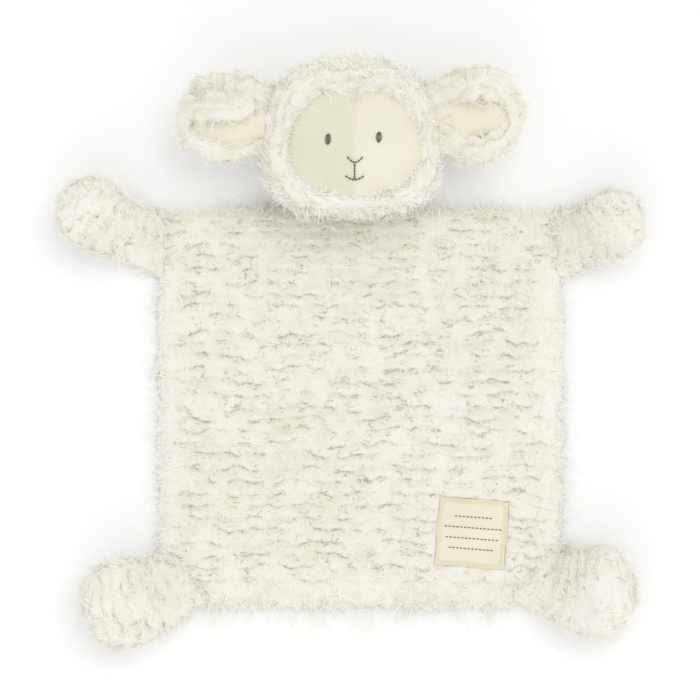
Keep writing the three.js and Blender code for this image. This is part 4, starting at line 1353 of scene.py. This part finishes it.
def limb_points(name, rows, columns, inset=0.0):
    """Points of a limb's surface: rows from its seam to its tip and columns all the way round."""
    limb, seam, root_half = LIMBS[name], seam_middle(name), root_half_of(name)
    normal = heading(limb["normal"])
    start, bend = seam + normal * 0.4, seam + normal * limb["reach"] * BEND_SHARE
    pad = seam + heading(limb["swing"]) * limb["reach"]

    # The sleeve, along its curve
    u = np.linspace(0, 1, rows)[:, None]
    middle = (1 - u) ** 2 * start + 2 * u * (1 - u) * bend + u * u * pad
    tangent = unit(2 * (1 - u) * (bend - start) + 2 * u * (pad - bend))
    swell = mix(u, ease(u), 0.4)
    half = mix(root_half, limb["width"], ease(u)) - WRIST_SHARE * root_half * np.sin(math.pi * u)
    seam_z = mix(SEAM_Z, PAD_SEAM_Z, swell)

    # The dome at its end
    turns = np.linspace(0, math.pi / 2, rows // 2)[1:, None]
    ahead = unit(pad - bend)
    middle = np.concatenate([middle, pad + ahead * limb["length"] * np.sin(turns)])
    tangent = np.concatenate([tangent, np.broadcast_to(ahead, (len(turns), 2))])
    half = np.concatenate([half, limb["width"] * np.cos(turns)]) - inset
    seam_z = np.concatenate([seam_z, np.full((len(turns), 1), PAD_SEAM_Z)])
    scale = np.concatenate([swell, np.cos(turns)])

    # The section round it
    turn = np.linspace(0, math.tau, columns, endpoint=False)[None, :]
    width = -signed_power(np.cos(turn), 2 / LIMB_POWER)
    crown = signed_power(np.sin(turn), 2 / LIMB_POWER)
    top, bottom = limb["top"] - PAD_SEAM_Z - inset, PAD_SEAM_Z + LIMB_FLAT - inset
    z = seam_z + np.where(crown > 0, top, bottom) * crown * scale
    x = middle[:, :1] - tangent[:, 1:] * width * np.maximum(half, 0)
    y = middle[:, 1:] + tangent[:, :1] * width * np.maximum(half, 0)
    return xyz(x, y, np.maximum(z, 0.2 + inset))


# %% [markdown]
# The cover gets its tufts from how far along the limb and how far round it each point lies. At the seam it
# runs in under the blanket's pile, so that no gap shows there when the limb folds, and underneath it is
# pressed flat on the floor.

# %% Limb pieces
LIMB_ROWS, LIMB_COLUMNS = 62, 150
OVERLAP, OVERLAP_DROP = 2.2, 1.2  # how far a limb's plush runs in under the blanket's pile, and dips there
LIMB_ROUND = 110.0  # round a limb, in cloth coordinates
LIMB_INSET = 3.6  # from the cover in to the filling
LIMB_SWELL, LIMB_SWELL_SIZE = 1.1, 20.0
SEAM_PILE = 16.0  # over this length from the seam the pile stands up against the blanket's


def tube_faces(points):
    """The faces of a tube whose rows run round it, with its first row closed."""
    rows, columns = points.shape[:2]
    return grid_faces(rows, columns, around=True) + [tuple(range(columns))]


def make_limb(name, seed):
    base = limb_points(name, LIMB_ROWS, LIMB_COLUMNS)
    _, along, normal = slopes(base, around=True)
    centre = base.mean(axis=1, keepdims=True)
    up = normal * np.sign(np.sum(normal * (base - centre), axis=-1, keepdims=True))
    up[-1] = unit(up[-2].mean(axis=0))

    # Its tufts, lower at the tip, and its pile, higher at the seam
    row_steps = np.linalg.norm(np.diff(base, axis=0), axis=-1).mean(axis=1)
    t = np.concatenate([[0], np.cumsum(row_steps)])[:, None] + 0 * base[..., 0]
    s = np.linspace(0, 1, base.shape[1])[None, :] * LIMB_ROUND + 0 * base[..., 0]
    height, lean, marks = tufts(s, t, seed, height=2.1, lean=0.8)
    swell = LIMB_SWELL * lumps(base, LIMB_SWELL_SIZE, seed)
    lift = (height - 0.9) * fading(t - t[-1] + 8, 10) + swell * clamp(t / 8.0)
    lift += SEWN_LIFT * fading(t, SEAM_PILE) ** 2 * (base[..., 2] > SEAM_Z - 1)
    points = base + up * lift[..., None]

    # Its first row runs in under the blanket's pile, its last is drawn to a point, and its lowest lies flat
    inwards = np.array([*heading(LIMBS[name]["normal"]), 0.0]) * -OVERLAP
    points[0, up[0, :, 2] > 0.5] += inwards - UP * OVERLAP_DROP
    points[-1] = points[-1].mean(axis=0)
    points[..., 2] = np.maximum(points[..., 2], resting(height))
    marks["opened"] = 0.54 * marks["opened"]
    marks["tone"] = marks["tone"] + 0.4
    cover = new_object(f"{name}_cover", points, tube_faces(points), cloths["pile ground"], marks)
    filled = limb_points(name, 30, 60, LIMB_INSET)[2:]
    filling = new_object(f"{name}_filling", filled, tube_faces(filled), cloths["filling"])

    # Its threads lie towards the tip, and fewer grow where it lies on the floor
    low = clamp(points[..., 2] / 6.0)
    comb = unit(turned(along, up, lean))
    comb[-1] = comb[-2]
    growth = mix(0.35, 1, marks["crown"]) * (0.6 + 0.4 * low)
    skin = {"points": points, "up": up, "comb": comb, "growth": growth, "reach": 1.0, "tone": marks["tone"]}
    sides = fading(np.abs(up[..., 2]), 0.75) * low
    kinds = {
        "nap": {"Lift": 0.25},
        "long": {"Density": 3.0, "Lift": 0.4},
        "fuzz": {"growth": sides, "Length": 0.0078},
    }
    return cover, filling, grow(name, seed, skin, kinds, around=True)


limb_pieces = {name: make_limb(name, 61 + 10 * k) for k, name in enumerate(LIMBS)}

# %% [markdown]
# ## Neck
# A strip of the same plush is gathered between the top seam of the blanket and the back of the head. It
# hides under the chin, and bends when the head nods. Its back shows then, so threads grow on both sides. A
# simulation could gather it, but a wave across it gives as good a row of gathers and keeps it closed.

# %% Neck
NECK_HALF, NECK_LENGTH, NECK_START = 30.0, 22.0, 114.9
NECK_SLOPE = math.tan(math.radians(31))
GATHER_HEIGHT, GATHER_WAVES = 0.5, 40
NECK_TUFT = 1.2
NECK_THREADS = {
    "neck_front": {"nap": {"Density": 40.0, "Lift": 0.3}},
    "neck_back": {
        "nap": {"Density": 60.0, "Lift": 0.3},
        "long": {"Density": 8.0},
        "fuzz": {"Density": 30.0, "Length": 0.005, "Lift": 0.4},
    },
}


def make_neck():
    share, width = np.meshgrid(np.linspace(0, 1, 24), np.linspace(-1, 1, 60), indexing="ij")
    rounded = np.sqrt(np.maximum(0, 1 - width**4))
    reach = share * NECK_LENGTH
    x, y = HEAD_X + width * NECK_HALF, NECK_START + reach
    height, lean, marks = tufts(width * NECK_HALF, reach, 91, height=NECK_TUFT)
    gathers = GATHER_HEIGHT * np.sin(width * GATHER_WAVES) * rounded
    free = clamp(share * 3)
    top = SEAM_Z + (reach * NECK_SLOPE * 0.9 + (gathers + height - NECK_TUFT) * free) * rounded
    low = SEAM_Z + (reach * NECK_SLOPE * 0.45 - 0.8 * free + 0.6 * gathers) * rounded
    upper, lower = xyz(x, y, top), xyz(x, y, low)
    made = closed_between("neck_cover", upper, lower, cloths["pile ground"], marks)
    threads = []
    for side, points, (name, kinds) in zip((1, -1), (upper, lower), NECK_THREADS.items()):
        up = unit(xyz(0.7 * width**5, 0.0, side))
        comb = turned(np.broadcast_to([0.0, -1.0, 0.0], points.shape), up, lean)
        skin = {"points": points, "up": up, "comb": comb, "growth": 1.0, "reach": 1.0, "tone": marks["tone"]}
        threads += grow(name, 93 + side, skin, kinds)
    return made, threads


neck_cover, neck_threads = make_neck()

# %% [markdown]
# ## Sewn patch
# A woven ribbon with its edge turned under and stitched down, and with four plain rows of running stitch.
# The hem is less than half a millimetre high, so it isn't folded in the mesh: one closed form is a little
# thicker all round its edge, and its colour is darker there, for the double layer. A darker line just inside
# the hem is painted shade, where the stitches draw the ribbon in; the mesh has no dent there.

# %% Patch
PATCH_THICK, PATCH_LOW = 0.75, -0.1
HEM_WIDE, HEM_THICK = 2.4, 0.42  # how far the edge is turned under, and how much that adds
HEM_SLOPE, HEM_SEEN = 0.7, 2.6  # how softly that ends, and how far in the hem shows in the colour
GROOVE_SHADE_IN, GROOVE_SHADE_HALF = 2.9, 0.35  # where the stitches draw the ribbon in, painted there as a dark line of shade, and how wide that line is
PATCH_ROUND = 0.8  # its edge is rounded over this width


def patch_level(u, v, lift):
    """A height over the patch's place, with the small unevenness of the pile that it lies on."""
    return PATCH_Z + lift + 0.35 * lumps(xyz(u, v, 0.0), 26.0, 9)


def patch_frame(u, v, z):
    """A place on the patch in the blanket's frame. Its sides are a little uneven, as turned by hand."""
    c, s = math.cos(PATCH_TURN), math.sin(PATCH_TURN)
    uneven_u = u + 0.45 * np.sin(v / 4.1 + 1.0) * (u / PATCH_HALF_U) ** 3
    uneven_v = v + 0.4 * np.sin(u / 4.7) * (v / PATCH_HALF_V) ** 3
    return xyz(PATCH_X + uneven_u * c - uneven_v * s, PATCH_Y + uneven_u * s + uneven_v * c, z)


def make_patch():
    columns = np.linspace(-PATCH_HALF_U, PATCH_HALF_U, 85)
    u, v = np.meshgrid(columns, np.linspace(PATCH_HALF_V, -PATCH_HALF_V, 83))
    to_edge = np.minimum(PATCH_HALF_U - np.abs(u), PATCH_HALF_V - np.abs(v))
    hem = ease(fading(to_edge - HEM_WIDE, HEM_SLOPE))
    rounded = clamp(to_edge / PATCH_ROUND)
    low = patch_level(u, v, PATCH_LOW)
    top = low + (PATCH_THICK + HEM_THICK * hem) * np.sqrt(rounded * (2 - rounded)) + 0.05
    # A painted line of shade where the stitches draw the ribbon in; the rest of the hem is darker for its
    # double layer.
    groove_shade = np.exp(-(((to_edge - GROOVE_SHADE_IN) / GROOVE_SHADE_HALF) ** 2))
    marks = {"hem": fading(to_edge - HEM_SEEN, 0.5) * 0.6 + 0.4 * groove_shade}
    outer, inner = patch_frame(u, v, top), patch_frame(u, v, low)
    return closed_between("patch", outer, inner, cloths["ribbon"], marks)


patch = make_patch()

# %% [markdown]
# ## Stitches
# A second tree sews: it turns every edge of a needle's path into one bowed stitch of thread. A row of
# edges along a line is a running stitch or a back stitch, and edges side by side across it are satin stitch.

# %% Stitch tree
STITCH_INPUTS = {
    "Thickness": ("NodeSocketFloat", 0.0005),
    "Bow": ("NodeSocketFloat", 0.0003),
    "Seed": ("NodeSocketInt", 1),
    "Material": ("NodeSocketMaterial", None),
}
STITCH_POINTS, STITCH_SIDES = 6, 6
STITCH_END = 0.4  # how thick a stitch is at its ends, as a share of its middle


def make_stitch_tree():
    """Every edge of the mesh it is given becomes one stitch: a bowed, round-ended thread."""
    tree, given = new_thread_tree("stitches", STITCH_INPUTS)
    curve = result(tree, "GeometryNodeMeshToCurve", {"Mesh": given["Geometry"]})
    curve = result(tree, "GeometryNodeResampleCurve", {"Curve": curve, "Count": STITCH_POINTS})
    part = result(tree, "GeometryNodeSplineParameter")
    curve = keep(tree, curve, "arch", maths(tree, "SINE", times(tree, part, math.pi)))
    arch = named(tree, "arch")
    lift = result(tree, "ShaderNodeCombineXYZ", {"Z": times(tree, arch, given["Bow"])})
    curve = result(tree, "GeometryNodeSetPosition", {"Geometry": curve, "Offset": lift})
    body = plus(tree, times(tree, maths(tree, "POWER", arch, 0.5), 1 - STITCH_END), STITCH_END)
    girth = times(tree, body, given["Thickness"], chance(tree, 0.8, 1.2, given["Seed"], 3))
    end_in_tubes(tree, curve, girth, STITCH_SIDES, True, given["Material"])
    return tree


stitch_tree = make_stitch_tree()


def sew(name, pairs, thickness, bow, material, seed=1):
    """Stitches between pairs of points, in millimetres."""
    mesh = bpy.data.meshes.new("needle path")
    points = np.asarray(pairs, float).reshape(-1, 3) * MM
    mesh.from_pydata(points.tolist(), [(2 * k, 2 * k + 1) for k in range(len(points) // 2)], [])
    values = {"Thickness": thickness * MM, "Bow": bow * MM, "Seed": seed, "Material": material}
    return as_plain_mesh(name, placed("needle path", mesh), stitch_tree, values)


# %% Stitches of the patch
ROW_STEP, ROW_STITCH = 2.3, 1.6
ROWS = ((9.6, -11, 10), (3.2, -16.5, 16), (-3.2, -15.5, 15), (-9.4, -13.5, 13))  # height, start and end
HEM_STEP, HEM_STITCH, HEM_REACH = 2.4, 1.5, 18.0
HEM_U, HEM_V = 19.4, 18.9  # where the hem's stitches run, from the patch's middle
ON_RIBBON, ON_HEM = 0.7, 0.35  # how high stitches lie over the patch's place, and how much more on its hem


def on_ribbon(u, v, over=0.0):
    """A place on the patch's upper face, inside its hem or this far over it."""
    return patch_frame(u, v, patch_level(u, v, ON_RIBBON) + over)


row_pairs = []
for v, low, high in ROWS:
    starts = np.arange(low, high, ROW_STEP)
    row_pairs.append(np.stack([on_ribbon(u, np.full_like(u, v)) for u in (starts, starts + ROW_STITCH)], 1))
patch_rows = sew("patch_stitches", np.concatenate(row_pairs), 0.75, 0.15, cloths["patch thread"])

hem_pairs = []
for sign in (-1, 1):
    for start in np.arange(-HEM_REACH, HEM_REACH, HEM_STEP):
        ends = np.array([start, start + HEM_STITCH])
        hem_pairs.append(on_ribbon(ends, np.full(2, sign * HEM_V), ON_HEM))
        hem_pairs.append(on_ribbon(np.full(2, sign * HEM_U), ends, ON_HEM))
patch_hem = sew("patch_hem_stitches", hem_pairs, 0.45, 0.12, cloths["hem thread"])

# %% [markdown]
# ## Embroidery of the face
# The eyes are satin stitch, and the nose, lip and mouth are back stitch. Painted marks would lie flat in the
# cloth, where real stitches stand up from it and catch the light. Each point is dropped onto the face first,
# so the embroidery follows its curve.

# %% Dropping stitches onto the face
graph = bpy.context.evaluated_depsgraph_get()
face_trees = [BVHTree.FromObject(half, graph) for half in (face_left, face_right)]
ABOVE_ALL, DOWN = 0.2, Vector((0, 0, -1))


def on_face(x, y, over):
    """A point over the face at a place, in millimetres."""
    found = [tree.ray_cast(Vector((x * MM, y * MM, ABOVE_ALL)), DOWN)[0] for tree in face_trees]
    return (x, y, max(point.z / MM for point in found if point is not None) + over)


# %% Kinds of stitch
EMBROIDERY = cloths["embroidery thread"]
SATIN_OVER, SATIN_BOW = 0.15, 0.45  # how high its ends lie over the face, and how far it bows
BACK_OVER, BACK_BOW, BACK_THICK = 0.25, 0.3, 0.95
BACK_ENDS = (0.04, 0.9)  # where in its share of the line a back stitch goes in and out
EYE_HALF_HIGH, EYE_HALF_WIDE, EYE_SLANT = 3.0, 2.1, 0.25


def satin(name, path, count, thickness, seed):
    """Satin stitches across a path, which gives a middle and a half-width vector for each share of it."""
    pairs = []
    for share in np.linspace(0, 1, count):
        (x, y), (wide_x, wide_y) = path(share)
        pairs.append([on_face(x + side * wide_x, y + side * wide_y, SATIN_OVER) for side in (-1, 1)])
    return sew(name, pairs, thickness, SATIN_BOW, EMBROIDERY, seed)


def back_stitch(name, path, count, seed):
    """A line of short stitches end to end along a path, with a small hole between them."""
    pairs = [[on_face(*path((k + part) / count), BACK_OVER) for part in BACK_ENDS] for k in range(count)]
    return sew(name, pairs, BACK_THICK, BACK_BOW, EMBROIDERY, seed)


def eye_path(x, y):
    def path(share):
        a = math.pi * mix(0.08, 0.92, share)
        return (x, y - EYE_HALF_HIGH * math.cos(a)), (EYE_HALF_WIDE * math.sin(a), EYE_SLANT)

    return path


def smile_path(x, y, width, depth):
    return lambda share: (x + width * (share - 0.5), y - depth * math.sin(math.pi * share))


# %% Eyes, nose and mouth
MOUTH_X, MOUTH_Y = HEAD_X + 1.4, HEAD_Y - 26.0
LIP_TOP, LIP_LOW = 138.9, 130.3
left_eye, right_eye = eye_path(HEAD_X - 14.0, HEAD_Y - 4.7), eye_path(HEAD_X + 15.4, HEAD_Y - 3.5)
nose, mouth = smile_path(HEAD_X + 1.6, HEAD_Y - 15.0, 9.2, 3.5), smile_path(MOUTH_X, MOUTH_Y, 11.0, 2.3)
embroidery = {
    "eye_left": satin("eye_left_satin", left_eye, 11, 0.5, 1),
    "eye_right": satin("eye_right_satin", right_eye, 11, 0.5, 2),
    "nose_stitch": back_stitch("nose_back_stitch", nose, 6, 3),
    "mouth_stitch": back_stitch("mouth_back_stitch", mouth, 6, 4),
    "lip_stitch": back_stitch("lip_back_stitch", lambda share: (MOUTH_X, mix(LIP_TOP, LIP_LOW, share)), 5, 5),
}

# %% [markdown]
# ## What moves with what
# The pieces of the blanket and of the head ride on empties named for their bodies. The pieces of the
# ears, hands, feet and neck have their places baked into their meshes.

for piece in [blanket_front, blanket_back, *blanket_threads, patch, patch_rows, patch_hem]:
    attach(piece, "blanket")
for piece in [face_left, face_right, head_wool, head_filling, *head_threads, *embroidery.values()]:
    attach(piece, "head")
for name, (wool, lining, threads) in ear_pieces.items():
    side, root_y = EARS[name]["side"], HEAD_Y + EARS[name]["above"]
    start = Vector((head_side_x(side, root_y), root_y, EAR_Z)) * MM
    for piece in [wool, lining, *threads]:
        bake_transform(piece)
for name, (cover, filling, threads) in limb_pieces.items():
    start = Vector((*seam_middle(name), SEAM_Z)) * MM
    for piece in [cover, filling, *threads]:
        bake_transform(piece)
for piece in [neck_cover, *neck_threads]:
    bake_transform(piece)

# %% What replaces what
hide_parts("blanket_front_panel")
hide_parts("blanket_back_panel")
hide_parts("label_patch")
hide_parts("head_side_left", "head_side_right")
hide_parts("face_left")
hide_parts("face_right")
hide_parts("head_stuffing")
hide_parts("neck_gather")
for node, piece in embroidery.items():
    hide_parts(node)
for name, (wool, lining, _) in ear_pieces.items():
    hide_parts(f"ear_{name}_wool")
    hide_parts(f"ear_{name}_lining")
for name, (cover, filling, _) in limb_pieces.items():
    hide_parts(f"{name}_front", f"{name}_back")
    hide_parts(f"{name}_stuffing")

# %% [markdown]
# Every cloth piece was cut flat before it was sewn. The face and ear pieces aren't rectangles. The head,
# hands and feet are stuffed, with their covers over fillings.

# %% [markdown]
# ## Light and floor
# Soft light comes from everywhere and a little more from above the head, as from a large window. The
# floor is white to the camera and still takes the shadows.

# %% Floor
FLOOR_HALF = 6
FLOOR_COLOUR, FLOOR_GLOW = (0.94, 0.94, 0.94, 1.0), 0.055


def make_floor():
    made = bpy.data.materials.new("floor")
    made.use_nodes = True
    tree = made.node_tree
    tree.nodes.clear()
    rays = put(tree, "ShaderNodeLightPath").outputs
    mirrored = maths(tree, "MAXIMUM", rays["Is Glossy Ray"], rays["Is Transmission Ray"])
    seen = times(tree, maths(tree, "MAXIMUM", rays["Is Camera Ray"], mirrored), FLOOR_GLOW)
    plain = result(tree, "ShaderNodeBsdfDiffuse", {"Color": FLOOR_COLOUR})
    glow = result(tree, "ShaderNodeEmission", {"Color": WHITE, "Strength": seen})
    both = result(tree, "ShaderNodeAddShader", {0: plain, 1: glow})
    put(tree, "ShaderNodeOutputMaterial", {"Surface": both})
    mesh = bpy.data.meshes.new("floor")
    corners = [(x * FLOOR_HALF, y * FLOOR_HALF, 0) for x, y in ((-1, -1), (1, -1), (1, 1), (-1, 1))]
    mesh.from_pydata(corners, [], [(0, 1, 2, 3)])
    mesh.materials.append(made)
    return placed("floor", mesh)


floor = make_floor()
floor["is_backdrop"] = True

# %% Light
SKY_LIGHT = 0.82


def add_window(name, strength, softness, way):
    """A large soft light far off. way is the direction that its light travels."""
    data = bpy.data.lights.new(name, "SUN")
    data.energy, data.angle = strength, math.radians(softness)
    placed(name, data).rotation_euler = Vector(way).to_track_quat("-Z", "Y").to_euler()


world = bpy.data.worlds.new("studio")
world.use_nodes = True
sky = world.node_tree.nodes["Background"]
sky.inputs["Color"].default_value = WHITE
seen = put(world.node_tree, "ShaderNodeLightPath").outputs["Is Camera Ray"]
level = result(world.node_tree, "ShaderNodeMapRange", {"Value": seen, "To Min": SKY_LIGHT, "To Max": 1.0})
world.node_tree.links.new(level, sky.inputs["Strength"])
bpy.context.scene.world = world

add_window("window", 0.55, 40, (-0.4, -0.45, -1.0))
add_window("reflector", 0.4, 60, (0.15, 0.9, -0.5))
bpy.context.scene.view_settings.view_transform = "Standard"
print(len(bpy.data.lights), "lights")

# %% Size
seen_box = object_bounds()
for title, box in (("CAD", cad_box), ("visual", seen_box)):
    print(title, [[round(value, 4) for value in corner] for corner in box])
